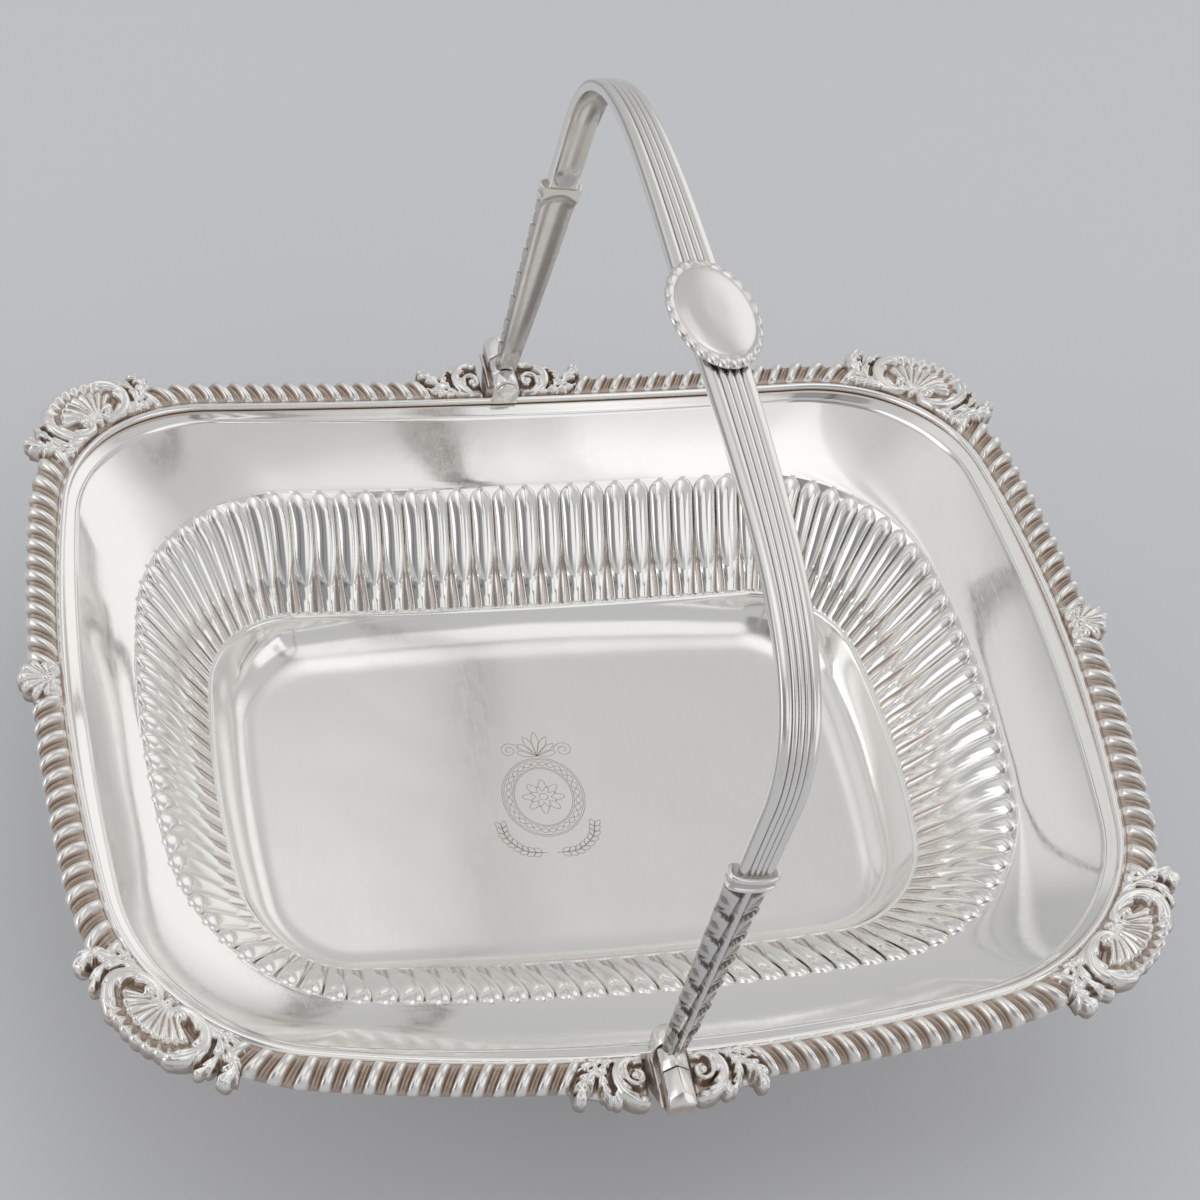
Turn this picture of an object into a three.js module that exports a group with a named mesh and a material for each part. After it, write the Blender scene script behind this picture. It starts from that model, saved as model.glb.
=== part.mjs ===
// A silver basket with a swing handle: a bent, bowed rectangular bowl with a band of lobes,
// a cast border of gadroons with shells and scrolls, a spreading foot and a reeded handle.
// Millimetres, +Z up. The origin is the middle of the foot's underside, X runs along the
// long sides and Y across them, along the handle's hinge line. Front is -Y and left is -X.
import * as THREE from 'three';

// Heights of the bowl, the foot and the hinge line.
const RIM_HEIGHT = 74;          // inner edge of the border above the table, mid long side
const END_RISE = 17;            // how far the border climbs towards the short ends
const END_RISE_AT = 150;        // the distance from the middle where it has climbed so far
const SIDE_DIP = 1.1;           // how far the border falls towards the long sides
const SIDE_DIP_AT = 125;
const SHEET = 1.2;              // thickness of the raised silver sheet
const GAP = 0.3;                // clearance where two soldered pieces meet
const RUNNING_GAP = 0.4;        // clearance beside and under the moving knuckle

// The plan of the basket, at the inner edge of the border.
const HALF_LENGTH = 150;
const HALF_WIDTH = 126.6;
const BORDER_WIDTH = 8.8;       // from the inner edge to the gadroons' outer ends
const MOULDING_WIDTH = 2.6;     // the plain wire inside the gadroons
const BAND_WIDTH = 3.8;         // the flat band between that wire and the flange
const FLANGE_ON_ENDS = 16;      // the flange is wider on the long sides than on the ends
const FLANGE_ON_SIDES = 22.2;
const LOBES_ON_ENDS = 22.8;     // the lobed band, as wide as it looks from above
const LOBES_ON_SIDES = 29.2;
const WELL_INSET = 16.5;        // from the ledge under the lobes to the flat floor
const BORDER_CORNER = 49;       // corner curve of the border's inner edge
const BORDER_CORNER_GAIN = 10;  // how much wider it turns at the outer edge
const BORDER_BOW_END = 4.8;     // how far the ends and sides bow out
const BORDER_BOW_SIDE = 5.4;
const BORDER_BOW_LOSS = 0.5;    // how much flatter an end is at the outer edge

// Depths below the border's inner edge.
const BAND_DROP = 1.2;
const FLANGE_TOP_DROP = 3;
const LOBE_TOP_DROP = 12.9;
const LEDGE_DROP = 38.2;
const FLOOR_DROP = 47.5;

// The lobes and the gadroons.
const LOBES_HALF_SIDE = 10;     // lobes from the middle of a long side to the corner curve
const LOBES_CORNER = 11;
const LOBES_HALF_END = 6;
const LOBE_BULGE = 2.2;
const LOBE_BEND = 0.8;          // the share of the border's bend that the lobed band follows
const GADROONS_ON_SIDE = 14;    // in each strip along a long side
const GADROONS_ON_END = 12;     // in each strip along a short end
const GADROON_RISE = 2.4;       // crown of a gadroon above the border's inner edge
const GADROON_GROOVE = 1.9;     // depth of the groove beside it
const GADROON_SLANT = 5.2;      // how far its outer end leans towards the corner

// The cast ornaments that part the border's strips.
const CORNER_SHELL_SPAN = 39;
const CORNER_SHELL_REACH = 17;  // at its middle, outwards from the border's inner edge
const CORNER_SHELL_SIDES = 12.5; // the same at its two sides
const CORNER_SHELL_RIBS = 9;
const END_SHELL_SPAN = 16;
const END_SHELL_REACH = 12;
const END_SHELL_RIBS = 7;
const SHELL_RISE = 4.2;
const HINGE_SCROLL_SPAN = 27;   // from the middle of the side to the last leaf
const HINGE_SCROLL_REACH = 15.5;
const HINGE_SCROLL_LEAVES = 5;
const RIB_SCALLOP = 0.5;        // how far a rib's end stands beyond the groove's
const RIB_GROOVE = 1.1;

// The hinges: a lug inside, the handle's knuckle, and a long knuckle outside.
const HINGE_RISE = 6.3;         // pin axis above the border's inner edge
const BARREL_RADIUS = 3.7;
const PIN_RADIUS = 1.5;
const PIN_HEAD_RADIUS = 3;
const PIN_HEAD = 0.9;
const KNUCKLE_LENGTH = 7.2;     // the handle's knuckle, along the pin
const KNUCKLE_SHIFT = 1.3;      // how far its middle lies outside the leg's
const LUG_LENGTH = 5.4;
const OUTER_KNUCKLE_LENGTH = 9.8;
const PLATE_HALF_WIDTH = 5.6;
const PLATE_THICKNESS = 2.2;    // at its outer end, clear of the bowl

// The handle, measured in its own plane from the pin's axis.
const HANDLE_LEAN = 6.2;        // degrees that it leans to the right as it stands
const HANDLE_FOOT_OUT = 4.6;    // how far a leg's foot stands outside the border's inner edge
const HANDLE_FOOT = HALF_WIDTH + HANDLE_FOOT_OUT;
const SHOULDER_INSET = 1.8;     // how far a shoulder stands inside the leg's foot
const SHOULDER_HEIGHT = 103;
const HANDLE_HEIGHT = 143.3;
const SHOULDER_PULL = 41;       // how squarely the shoulder turns, above and beside it
const TOP_PULL = 71;
const COLLAR_AT = 74.3;          // along the leg from the pin
const COLLAR_LENGTH = 5.5;
const LEG_LEAVES = 7;
const LEG_WIDTH_LOW = 6.6;
const LEG_WIDTH_HIGH = 12.4;
const LEG_WIDENING = 0.55;      // under 1, the leg widens mostly near its foot
const ARCH_WIDTH_LOW = 9.4;
const ARCH_WIDTH_HIGH = 14;
const ARCH_THICKNESS = 4;
const REEDS = 5;
const CARTOUCHE_LENGTH = 42;
const CARTOUCHE_WIDTH = 26;
const CARTOUCHE_THICKNESS = 3;
const CARTOUCHE_SCALLOPS = 24;

// The foot.
const FOOT_WIRE_HEIGHT = 4.4;
const FOOT_WIRE_WIDTH = 4.6;
const FOOT_SPREAD = 10;
const FOOT_TOP_INSET = 3;       // from the edge of the flat floor to the foot's neck
const FOOT_WALL = 1.5;
const FOOT_CORNER = 18;         // corner curve of the foot's neck

const silver = new THREE.MeshStandardMaterial({ color: 0xd9d7d2, roughness: 0.22, metalness: 1 });
const castSilver = new THREE.MeshStandardMaterial({ color: 0xc9c2b8, roughness: 0.34, metalness: 1 });
const handleSilver = new THREE.MeshStandardMaterial({ color: 0xcfccc6, roughness: 0.28, metalness: 1 });
const pinSilver = new THREE.MeshStandardMaterial({ color: 0xb9b4ab, roughness: 0.3, metalness: 1 });

// Closed loops of points skinned one to the next. Loops may differ in their number of points,
// because the skin walks both loops by each point's share of the way round. The ends are
// closed by a fan, or with wrap the last loop is joined to the first.
function skin(loops, wrap = false) {
  const positions = [];
  const starts = loops.map((loop) => {
    const start = positions.length / 3;
    for (const { point } of loop) positions.push(point.x, point.y, point.z);
    return start;
  });
  const triangles = [];
  const join = (a, b) => {
    const [m, n] = [loops[a].length, loops[b].length];
    const share = (loop, i, count) => (i < count ? loops[loop][i].share : 1 + loops[loop][0].share);
    let i = 0;
    let j = 0;
    while (i < m || j < n) {
      const stepA = j >= n || (i < m && share(a, i + 1, m) <= share(b, j + 1, n) + 1e-9);
      if (stepA) triangles.push(starts[a] + i % m, starts[b] + j % n, starts[a] + (i + 1) % m);
      else triangles.push(starts[a] + i % m, starts[b] + j % n, starts[b] + (j + 1) % n);
      if (stepA) i += 1;
      else j += 1;
    }
  };
  for (let k = 0; k + 1 < loops.length; k += 1) join(k, k + 1);
  if (wrap) join(loops.length - 1, 0);
  const fan = (k, reverse) => {
    const middle = new THREE.Vector3();
    for (const { point } of loops[k]) middle.addScaledVector(point, 1 / loops[k].length);
    const centre = positions.length / 3;
    positions.push(middle.x, middle.y, middle.z);
    for (let i = 0; i < loops[k].length; i += 1) {
      const next = (i + 1) % loops[k].length;
      const pair = reverse ? [next, i] : [i, next];
      triangles.push(starts[k] + pair[0], starts[k] + pair[1], centre);
    }
  };
  if (!wrap) {
    fan(0, false);
    fan(loops.length - 1, true);
  }
  const geometry = new THREE.BufferGeometry();
  geometry.setAttribute('position', new THREE.Float32BufferAttribute(positions, 3));
  geometry.setIndex(volumeOf(positions, triangles) < 0 ? triangles.reverse() : triangles);
  geometry.computeVertexNormals();
  return geometry;
}

function volumeOf(positions, triangles) {
  const corner = (i) => new THREE.Vector3().fromArray(positions, 3 * triangles[i]);
  let six = 0;
  for (let i = 0; i < triangles.length; i += 3) {
    six += corner(i).dot(corner(i + 1).cross(corner(i + 2)));
  }
  return six / 6;
}

// A loop through points that are spread evenly by number.
const evenLoop = (points) => points.map((point, i) => ({ point, share: i / points.length }));

function mesh(name, geometry, material) {
  const piece = new THREE.Mesh(geometry, material);
  piece.name = name;
  return piece;
}

// One quarter of a bowed rectangle, from the middle of the long side (+Y) round the corner
// to the middle of the short end (+X). Each of its three stretches has a share from 0 to 1.
function plan(halfLength, halfWidth, corner, bowEnd, bowSide) {
  const x = halfLength - corner - bowEnd;
  const y = halfWidth - corner - bowSide;
  const pull = 0.52 * corner;
  const slopeSide = 2 * bowSide / x;
  const slopeEnd = 2 * bowEnd / y;
  const from = new THREE.Vector2(x, halfWidth - bowSide);
  const to = new THREE.Vector2(halfLength - bowEnd, y);
  const curve = new THREE.CubicBezierCurve(
    from,
    from.clone().add(new THREE.Vector2(pull, -pull * slopeSide)),
    to.clone().add(new THREE.Vector2(-pull * slopeEnd, pull)),
    to,
  );
  return {
    side: (share) => new THREE.Vector2(x * share, halfWidth - bowSide * share ** 2),
    corner: (share) => curve.getPoint(share),
    end: (share) => new THREE.Vector2(halfLength - bowEnd * (1 - share) ** 2, y * (1 - share)),
    lengths: [x, curve.getLength(), y],
  };
}

// The plans of the border's two edges, and of any line between or beside them.
const borderLine = (reach) => {
  const share = reach / BORDER_WIDTH;
  return [HALF_LENGTH + reach, HALF_WIDTH + reach, BORDER_CORNER + BORDER_CORNER_GAIN * share,
    BORDER_BOW_END - BORDER_BOW_LOSS * share, BORDER_BOW_SIDE - 2 * BORDER_BOW_LOSS * share];
};
const borderPlan = plan(...borderLine(0));
const outerPlan = plan(...borderLine(BORDER_WIDTH));
const [SIDE, CORNER, END] = borderPlan.lengths;
const QUARTER = SIDE + CORNER + END;
const ROUND = 4 * QUARTER;

// A point of a plan at a distance along the border's inner edge, clockwise seen from above,
// from the middle of the back side.
function planPoint(ring, distance) {
  const along = ((distance % ROUND) + ROUND) % ROUND;
  const quarter = Math.min(Math.floor(along / QUARTER), 3);
  const rest = along - quarter * QUARTER;
  const local = quarter % 2 === 0 ? rest : QUARTER - rest;
  let spot;
  if (local < SIDE) spot = ring.side(local / SIDE);
  else if (local < SIDE + CORNER) spot = ring.corner((local - SIDE) / CORNER);
  else spot = ring.end((local - SIDE - CORNER) / END);
  const right = quarter < 2 ? 1 : -1;
  const back = quarter === 0 || quarter === 3 ? 1 : -1;
  return new THREE.Vector2(spot.x * right, spot.y * back);
}

const bend = (x, y) => END_RISE * (x / END_RISE_AT) ** 2 - SIDE_DIP * (y / SIDE_DIP_AT) ** 2;

// A point at a drop below the border's inner edge. The share says how much of the whole
// basket's bend the point takes: all of it at the border, none at the flat floor.
function dropped(spot, drop, bendShare = 1) {
  const z = RIM_HEIGHT - drop + bendShare * bend(spot.x, spot.y);
  return new THREE.Vector3(spot.x, spot.y, z);
}

// Distances round the basket where the lobes meet, with steps in each lobe.
function lobeDistances(steps) {
  const quarter = [];
  const stretch = (count, from, length) => {
    for (let i = 0; i < count * steps; i += 1) quarter.push(from + length * i / (count * steps));
  };
  stretch(LOBES_HALF_SIDE, 0, SIDE);
  stretch(LOBES_CORNER, SIDE, CORNER);
  stretch(LOBES_HALF_END, SIDE + CORNER, END);
  const mirrored = [QUARTER, ...quarter.slice(1).reverse()].map((distance) => QUARTER - distance);
  const all = [];
  for (let k = 0; k < 4; k += 1) {
    const part = k % 2 === 0 ? quarter : mirrored;
    all.push(...part.map((distance) => k * QUARTER + distance));
  }
  return all;
}

const ringLoop = (ring, drop, bendShare, distances) => distances.map((distance) => ({
  point: dropped(planPoint(ring, distance), drop, bendShare),
  share: distance / ROUND,
}));

// The bowl's upper surface as stations from the floor to under the border: half length, half
// width, corner, bow of the end and of the side, drop, and share of the bend.
const mouldingIn = { x: HALF_LENGTH - MOULDING_WIDTH, y: HALF_WIDTH - MOULDING_WIDTH };
const flangeOut = { x: mouldingIn.x - BAND_WIDTH, y: mouldingIn.y - BAND_WIDTH };
const lobeOut = { x: flangeOut.x - FLANGE_ON_ENDS, y: flangeOut.y - FLANGE_ON_SIDES };
const ledge = { x: lobeOut.x - LOBES_ON_ENDS, y: lobeOut.y - LOBES_ON_SIDES };
const floor = { x: ledge.x - WELL_INSET, y: ledge.y - WELL_INSET };
const wall = (share, depth) => {
  const inset = WELL_INSET * share;
  return [ledge.x - inset, ledge.y - inset, 30 - 10 * share, 2.1 - share, 1.3 - share / 2,
    LEDGE_DROP + (FLOOR_DROP - LEDGE_DROP) * depth, LOBE_BEND * (1 - depth)];
};
const flange = (share, depth) => [
  flangeOut.x - FLANGE_ON_ENDS * share, flangeOut.y - FLANGE_ON_SIDES * share, 48 + 3 * share,
  3.4 - 0.5 * share, 3.6 - 2 * share, FLANGE_TOP_DROP + (LOBE_TOP_DROP - FLANGE_TOP_DROP) * depth,
  1 + (LOBE_BEND - 1) * share,
];
const wellStations = [wall(1, 1), wall(0.62, 0.9), wall(0.25, 0.5), wall(0.08, 0.06)];
const ledgeStation = wall(0, 0);
const flangeStations = [flange(1, 1), flange(0.55, 0.66), flange(0, 0)];
const BORDER_SEAT_DROP = 1.5;
const BORDER_SEAT_SLOPE = 0.35;
const RIM_EDGE = BORDER_WIDTH - 2;
const rimStations = [
  [mouldingIn.x, mouldingIn.y, 49, 3.2, 6, BAND_DROP, 1],
  [...borderLine(0), BORDER_SEAT_DROP, 1],
  [...borderLine(RIM_EDGE), BORDER_SEAT_DROP + BORDER_SEAT_SLOPE * RIM_EDGE, 1],
];

const stationLoop = ([a, b, corner, bowEnd, bowSide, drop, share], distances) => (
  ringLoop(plan(a, b, corner, bowEnd, bowSide), drop, share, distances)
);

// The same surface set off by the sheet's thickness, for the underside.
function underside(stations) {
  return stations.map((station, i) => {
    const before = stations[Math.max(i - 1, 0)];
    const after = stations[Math.min(i + 1, stations.length - 1)];
    const run = after[0] - before[0];
    const rise = before[5] - after[5];
    const length = Math.hypot(run, rise);
    const out = SHEET * rise / length;
    const down = SHEET * run / length;
    return [station[0] + out, station[1] + out, station[2] + out, station[3], station[4],
      station[5] + down, station[6]];
  });
}

// The lobed band between the ledge and the flange. A loop is level with the band where two
// lobes meet and stands proud of it between, and the bulge sinks to nothing at both ends.
function lobeLoop(share, bulge) {
  const mix = (from, to) => from + (to - from) * share;
  const [low, high] = [ledgeStation, flangeStations[0]];
  const band = low.map((value, i) => mix(value, high[i]));
  const run = high[0] - low[0];
  const rise = low[5] - high[5];
  const slope = Math.hypot(run, rise);
  const proud = [...band];
  for (const i of [0, 1]) proud[i] -= bulge * rise / slope;
  proud[5] -= bulge * run / slope;
  const distances = lobeDistances(3);
  const valley = stationLoop(band, distances);
  const crest = stationLoop(proud, distances);
  return valley.map((spot, i) => (i % 3 === 0 ? spot : crest[i]));
}

function bowl() {
  const fine = lobeDistances(1);
  const coarse = fine.filter((_, i) => i % 2 === 0);
  const top = [
    ...wellStations.map((station) => stationLoop(station, fine)),
    stationLoop(ledgeStation, fine),
    lobeLoop(0.05, 0.5),
    lobeLoop(0.45, LOBE_BULGE),
    lobeLoop(0.88, LOBE_BULGE),
    ...flangeStations.map((station) => stationLoop(station, fine)),
    ...rimStations.map((station) => stationLoop(station, fine)),
  ];
  const surface = [...wellStations, ledgeStation, ...flangeStations, ...rimStations];
  const below = underside(surface).map((station) => stationLoop(station, coarse));
  return mesh('bowl', skin([...top, ...below.reverse()]), silver);
}

// Pieces of the cast border are sections across it, set round the basket one after another.
// A spot lies at a distance round, a reach outwards from the border's inner edge, and a
// height above that edge.
function borderSpot(distance, reach, height) {
  const inner = planPoint(borderPlan, distance);
  const outer = planPoint(outerPlan, distance);
  const spot = inner.clone().lerp(outer, reach / BORDER_WIDTH);
  return dropped(spot, -height);
}

const seatHeight = (reach) => GAP - BORDER_SEAT_DROP - BORDER_SEAT_SLOPE * Math.max(reach, 0);

function borderPiece(name, sections, material = castSilver) {
  const loops = sections.map((section) => evenLoop(
    section.map(([distance, reach, height]) => borderSpot(distance, reach, height)),
  ));
  return mesh(name, skin(loops), material);
}

// A strip of gadroons between two distances. Its outer ends lean towards the corner, which
// is ahead when lean is 1 and behind when it is -1.
function gadroonStrip(name, from, to, count, lean) {
  const stations = [];
  for (let i = 0; i < count; i += 1) stations.push([i, false], [i + 0.3, true], [i + 0.7, true]);
  stations.push([count, false]);
  const sections = stations.map(([step, crest]) => {
    const distance = from + (to - from) * step / count;
    const sunk = crest ? 0 : GADROON_GROOVE;
    const reach = crest ? BORDER_WIDTH : BORDER_WIDTH - 0.8;
    const spot = (across, height) => [
      distance + lean * GADROON_SLANT * (across / BORDER_WIDTH - 0.5), across, height];
    return [
      spot(GAP, seatHeight(GAP)),
      spot(GAP, 0.5 - sunk * 0.5),
      spot(BORDER_WIDTH * 0.45, GADROON_RISE - sunk),
      spot(reach, -0.6 - sunk * 0.5),
      spot(reach - 1, seatHeight(reach - 1)),
    ];
  });
  return borderPiece(name, sections);
}

// A fan shell over a corner or the middle of an end: ribs that rise between grooves, with a
// scalloped outer edge that reaches furthest at the middle.
function shell(name, middle, span, reach, sideReach, ribs) {
  const sections = [];
  for (let i = 0; i <= 2 * ribs; i += 1) {
    const across = i / ribs - 1;
    const crest = i % 2 === 1;
    const scallop = crest ? RIB_SCALLOP : -RIB_SCALLOP;
    const far = sideReach + (reach - sideReach) * (1 - across ** 2) + scallop;
    const high = SHELL_RISE * (1 - 0.4 * across ** 2) - (crest ? 0 : RIB_GROOVE);
    const near = middle + across * span * 0.42;
    const away = middle + across * span * 0.5;
    sections.push([
      [near, GAP, seatHeight(GAP)],
      [near, GAP, 1],
      [(near + away) / 2, far * 0.5, high],
      [away, far, high - 3.4],
      [away, far - 1.2, seatHeight(far - 1.2)],
    ]);
  }
  return borderPiece(name, sections);
}

// The scrolled leaves beside a hinge, low next to it to leave room for the fallen handle.
// Direction is 1 for the piece that lies clockwise.
function hingeScroll(name, middle, direction) {
  const from = PLATE_HALF_WIDTH + GAP;
  const sections = [];
  for (let i = 0; i <= 2 * HINGE_SCROLL_LEAVES; i += 1) {
    const share = i / (2 * HINGE_SCROLL_LEAVES);
    const crest = i % 2 === 1;
    const distance = middle + direction * (from + (HINGE_SCROLL_SPAN - from) * share);
    const scallop = crest ? RIB_SCALLOP : -RIB_SCALLOP;
    const far = HINGE_SCROLL_REACH + (BORDER_WIDTH - HINGE_SCROLL_REACH) * share ** 1.6 + scallop;
    const swell = 0.4 + 0.5 * Math.sin(Math.min(share / 0.35, 1) * Math.PI / 2);
    const high = SHELL_RISE * swell - (crest ? 0 : RIB_GROOVE);
    sections.push([
      [distance, GAP, seatHeight(GAP)],
      [distance, GAP, 0.4],
      [distance, far * 0.45, high],
      [distance, far, high - 4.6],
      [distance, far - 1.5, seatHeight(far - 1.5)],
    ]);
  }
  return borderPiece(name, sections);
}

// The plain wire that hides the joint between the border and the flat band.
function moulding() {
  const distances = lobeDistances(1);
  const low = -BAND_DROP + GAP;
  const profile = [
    [-MOULDING_WIDTH + GAP, low],
    [-MOULDING_WIDTH + GAP * 2, low + 1.2],
    [-GAP * 2, low + 1.5],
    [-GAP, low - 0.2],
  ];
  const loops = profile.map(([reach, height]) => distances.map((distance) => ({
    point: borderSpot(distance, reach, height),
    share: distance / ROUND,
  })));
  return mesh('rim_moulding', skin(loops, true), silver);
}

// The foot: a spreading wall under the floor, and the wire that it stands on.
const footTop = RIM_HEIGHT - FLOOR_DROP - SHEET - GAP;
const footLoop = (out, height) => {
  const half = { x: floor.x - FOOT_TOP_INSET + out, y: floor.y - FOOT_TOP_INSET + out };
  const ring = plan(half.x, half.y, FOOT_CORNER + out, 1, 0.8);
  return lobeDistances(1).filter((_, i) => i % 2 === 0).map((distance) => {
    const spot = planPoint(ring, distance);
    return { point: new THREE.Vector3(spot.x, spot.y, height), share: distance / ROUND };
  });
};

function footCollet() {
  const bottom = FOOT_WIRE_HEIGHT + GAP;
  const curve = (share) => FOOT_SPREAD * (1 - Math.cos(share * Math.PI / 2));
  const heightAt = (share) => footTop + (bottom - footTop) * Math.sin(share * Math.PI / 2) ** 0.8;
  const outside = [0, 0.45, 0.75, 1].map((share) => footLoop(curve(share), heightAt(share)));
  const inside = [1, 0.75, 0.45, 0].map((share) => (
    footLoop(curve(share) - FOOT_WALL, share === 0 ? footTop : heightAt(share))));
  return mesh('foot_collet', skin([...outside, ...inside], true), silver);
}

function footWire() {
  const middle = FOOT_SPREAD - FOOT_WALL / 2;
  const half = FOOT_WIRE_WIDTH / 2;
  const profile = [
    [middle - half, 0],
    [middle - half, FOOT_WIRE_HEIGHT * 0.8],
    [middle - half * 0.4, FOOT_WIRE_HEIGHT],
    [middle + half * 0.5, FOOT_WIRE_HEIGHT * 0.95],
    [middle + half, FOOT_WIRE_HEIGHT * 0.5],
    [middle + half * 0.7, 0],
  ];
  return mesh('foot_wire', skin(profile.map(([out, height]) => footLoop(out, height)), true), castSilver);
}

// Hinge pieces are loops in planes square to the pin. They are made for the back side, in a
// frame on the pin's axis, and mirrored for the front by the sign of Y.
const ringAt = (y, radius, count, side) => evenLoop(
  Array.from({ length: count }, (_, i) => {
    const angle = i * 2 * Math.PI / count;
    return new THREE.Vector3(radius * Math.cos(angle), side * y, radius * Math.sin(angle));
  }),
);

const PIN_HOLE = PIN_RADIUS + GAP;
const knuckleFrom = HANDLE_FOOT + KNUCKLE_SHIFT - KNUCKLE_LENGTH / 2;
const knuckleTo = knuckleFrom + KNUCKLE_LENGTH;
const lugTo = knuckleFrom - RUNNING_GAP;
const lugFrom = lugTo - LUG_LENGTH;
const outerFrom = knuckleTo + RUNNING_GAP;
const outerTo = outerFrom + OUTER_KNUCKLE_LENGTH;
const PIN_DEPTH = outerFrom + OUTER_KNUCKLE_LENGTH * 0.6;
const outerHip = outerTo - OUTER_KNUCKLE_LENGTH * 0.18;
const PIN_HEIGHT = RIM_HEIGHT + bend(0, HALF_WIDTH) + HINGE_RISE;
const plateTop = -BARREL_RADIUS - RUNNING_GAP;
const SIDES = 12;

// A fixed knuckle's outline: round above the pin's axis, straight down to the plate below it.
function knuckleLoop(y, side, size = 1) {
  const radius = BARREL_RADIUS * size;
  const foot = plateTop + GAP;
  return evenLoop(Array.from({ length: SIDES }, (_, i) => {
    const angle = i * 2 * Math.PI / SIDES;
    const [across, up] = [radius * Math.cos(angle), radius * Math.sin(angle)];
    if (i <= SIDES / 2) return new THREE.Vector3(across, side * y, up);
    return new THREE.Vector3(across / Math.cos(Math.PI / 6), side * y, foot);
  }));
}

// A bracket over the bowl's rim that carries both fixed knuckles and overhangs the rim.
function hingePlate(side) {
  const seat = (reach) => seatHeight(reach) - HINGE_RISE;
  const sections = [
    [GAP, seat(GAP), 1],
    [RIM_EDGE + GAP, seat(RIM_EDGE + GAP), 1],
    [outerHip - HALF_WIDTH, plateTop - PLATE_THICKNESS, 0.8],
  ];
  return skin(sections.map(([reach, bottom, width]) => evenLoop(
    [[-width, bottom], [width, bottom], [width, plateTop], [-width, plateTop]].map(([x, z]) => (
      new THREE.Vector3(x * PLATE_HALF_WIDTH, side * (HALF_WIDTH + reach), z))),
  )));
}

function hinge(place, side) {
  const hole = (y) => ringAt(y, PIN_HOLE, SIDES, side);
  const lug = skin([
    hole(lugFrom),
    hole(lugTo),
    knuckleLoop(lugTo, side),
    knuckleLoop(lugFrom, side),
  ], true);
  const outer = skin([
    hole(PIN_DEPTH + GAP),
    hole(outerFrom),
    knuckleLoop(outerFrom, side),
    knuckleLoop(outerHip, side),
    knuckleLoop(outerTo, side, 0.55),
  ]);
  const head = lugFrom - GAP;
  const pin = skin([
    ringAt(head - PIN_HEAD, PIN_HEAD_RADIUS * 0.8, SIDES, side),
    ringAt(head - PIN_HEAD / 2, PIN_HEAD_RADIUS, SIDES, side),
    ringAt(head, PIN_HEAD_RADIUS, SIDES, side),
    ringAt(head, PIN_RADIUS, SIDES, side),
    ringAt(PIN_DEPTH, PIN_RADIUS, SIDES, side),
  ]);
  const group = new THREE.Group();
  group.position.z = PIN_HEIGHT;
  group.add(
    mesh(`hinge_plate_${place}`, hingePlate(side), castSilver),
    mesh(`inner_lug_${place}`, lug, castSilver),
    mesh(`outer_knuckle_${place}`, outer, castSilver),
    mesh(`hinge_pin_${place}`, pin, pinSilver),
  );
  return group;
}

// The handle's centre line from the pin to the top of the arch, in the handle's own plane.
const halfLine = new THREE.CurvePath();
const shoulder = new THREE.Vector3(0, HANDLE_FOOT - SHOULDER_INSET, SHOULDER_HEIGHT);
const legDirection = shoulder.clone().sub(new THREE.Vector3(0, HANDLE_FOOT, 0)).normalize();
halfLine.add(new THREE.LineCurve3(new THREE.Vector3(0, HANDLE_FOOT, 0), shoulder));
halfLine.add(new THREE.CubicBezierCurve3(
  shoulder,
  shoulder.clone().addScaledVector(legDirection, SHOULDER_PULL),
  new THREE.Vector3(0, TOP_PULL, HANDLE_HEIGHT),
  new THREE.Vector3(0, 0, HANDLE_HEIGHT),
));
const HALF_LINE_LENGTH = halfLine.getLength();

// A section across the handle at a distance from the pin. Its points are given across the
// handle and outwards from its centre line.
function handleLoop(distance, points, side) {
  const share = Math.min(distance / HALF_LINE_LENGTH, 1);
  const centre = halfLine.getPointAt(share);
  const tangent = halfLine.getTangentAt(share);
  return evenLoop(points.map(([across, out]) => new THREE.Vector3(
    across,
    side * (centre.y + tangent.z * out),
    centre.z - tangent.y * out,
  )));
}

const legFrom = BARREL_RADIUS + GAP;
const archFrom = COLLAR_AT + COLLAR_LENGTH + GAP;

// A leg cast as overlapping leaves: the edge steps in and out, a rib runs up the middle, and
// the back is hollow.
function leg(side) {
  const loops = [];
  for (let i = 0; i <= 2 * LEG_LEAVES; i += 1) {
    const share = i / (2 * LEG_LEAVES);
    const step = i % 2 === 0 ? -0.5 : 0.3;
    const width = LEG_WIDTH_LOW + (LEG_WIDTH_HIGH - LEG_WIDTH_LOW) * share ** LEG_WIDENING;
    const half = width / 2 + step * Math.min(1, 4 * share);
    loops.push(handleLoop(legFrom + (COLLAR_AT - GAP - legFrom) * share, [
      [-half, -0.4], [-half * 0.55, 1.3 + step], [0, 2.5], [half * 0.55, 1.3 + step],
      [half, -0.4], [half - 1, -1.9], [0, -0.7], [1 - half, -1.9],
    ], side));
  }
  return skin(loops);
}

function collar(side) {
  const loops = [0, 0.3, 0.7, 1].map((share) => {
    const swell = share === 0 || share === 1 ? 0 : 0.6;
    const half = LEG_WIDTH_HIGH / 2 + swell;
    const thick = ARCH_THICKNESS / 2 + 0.9 + swell;
    return handleLoop(COLLAR_AT + COLLAR_LENGTH * share, [
      [-half, 0], [-half * 0.6, thick], [half * 0.6, thick], [half, 0],
      [half * 0.7, -thick * 0.8], [0, -thick * 0.45], [-half * 0.7, -thick * 0.8],
    ], side);
  });
  return skin(loops);
}

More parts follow.
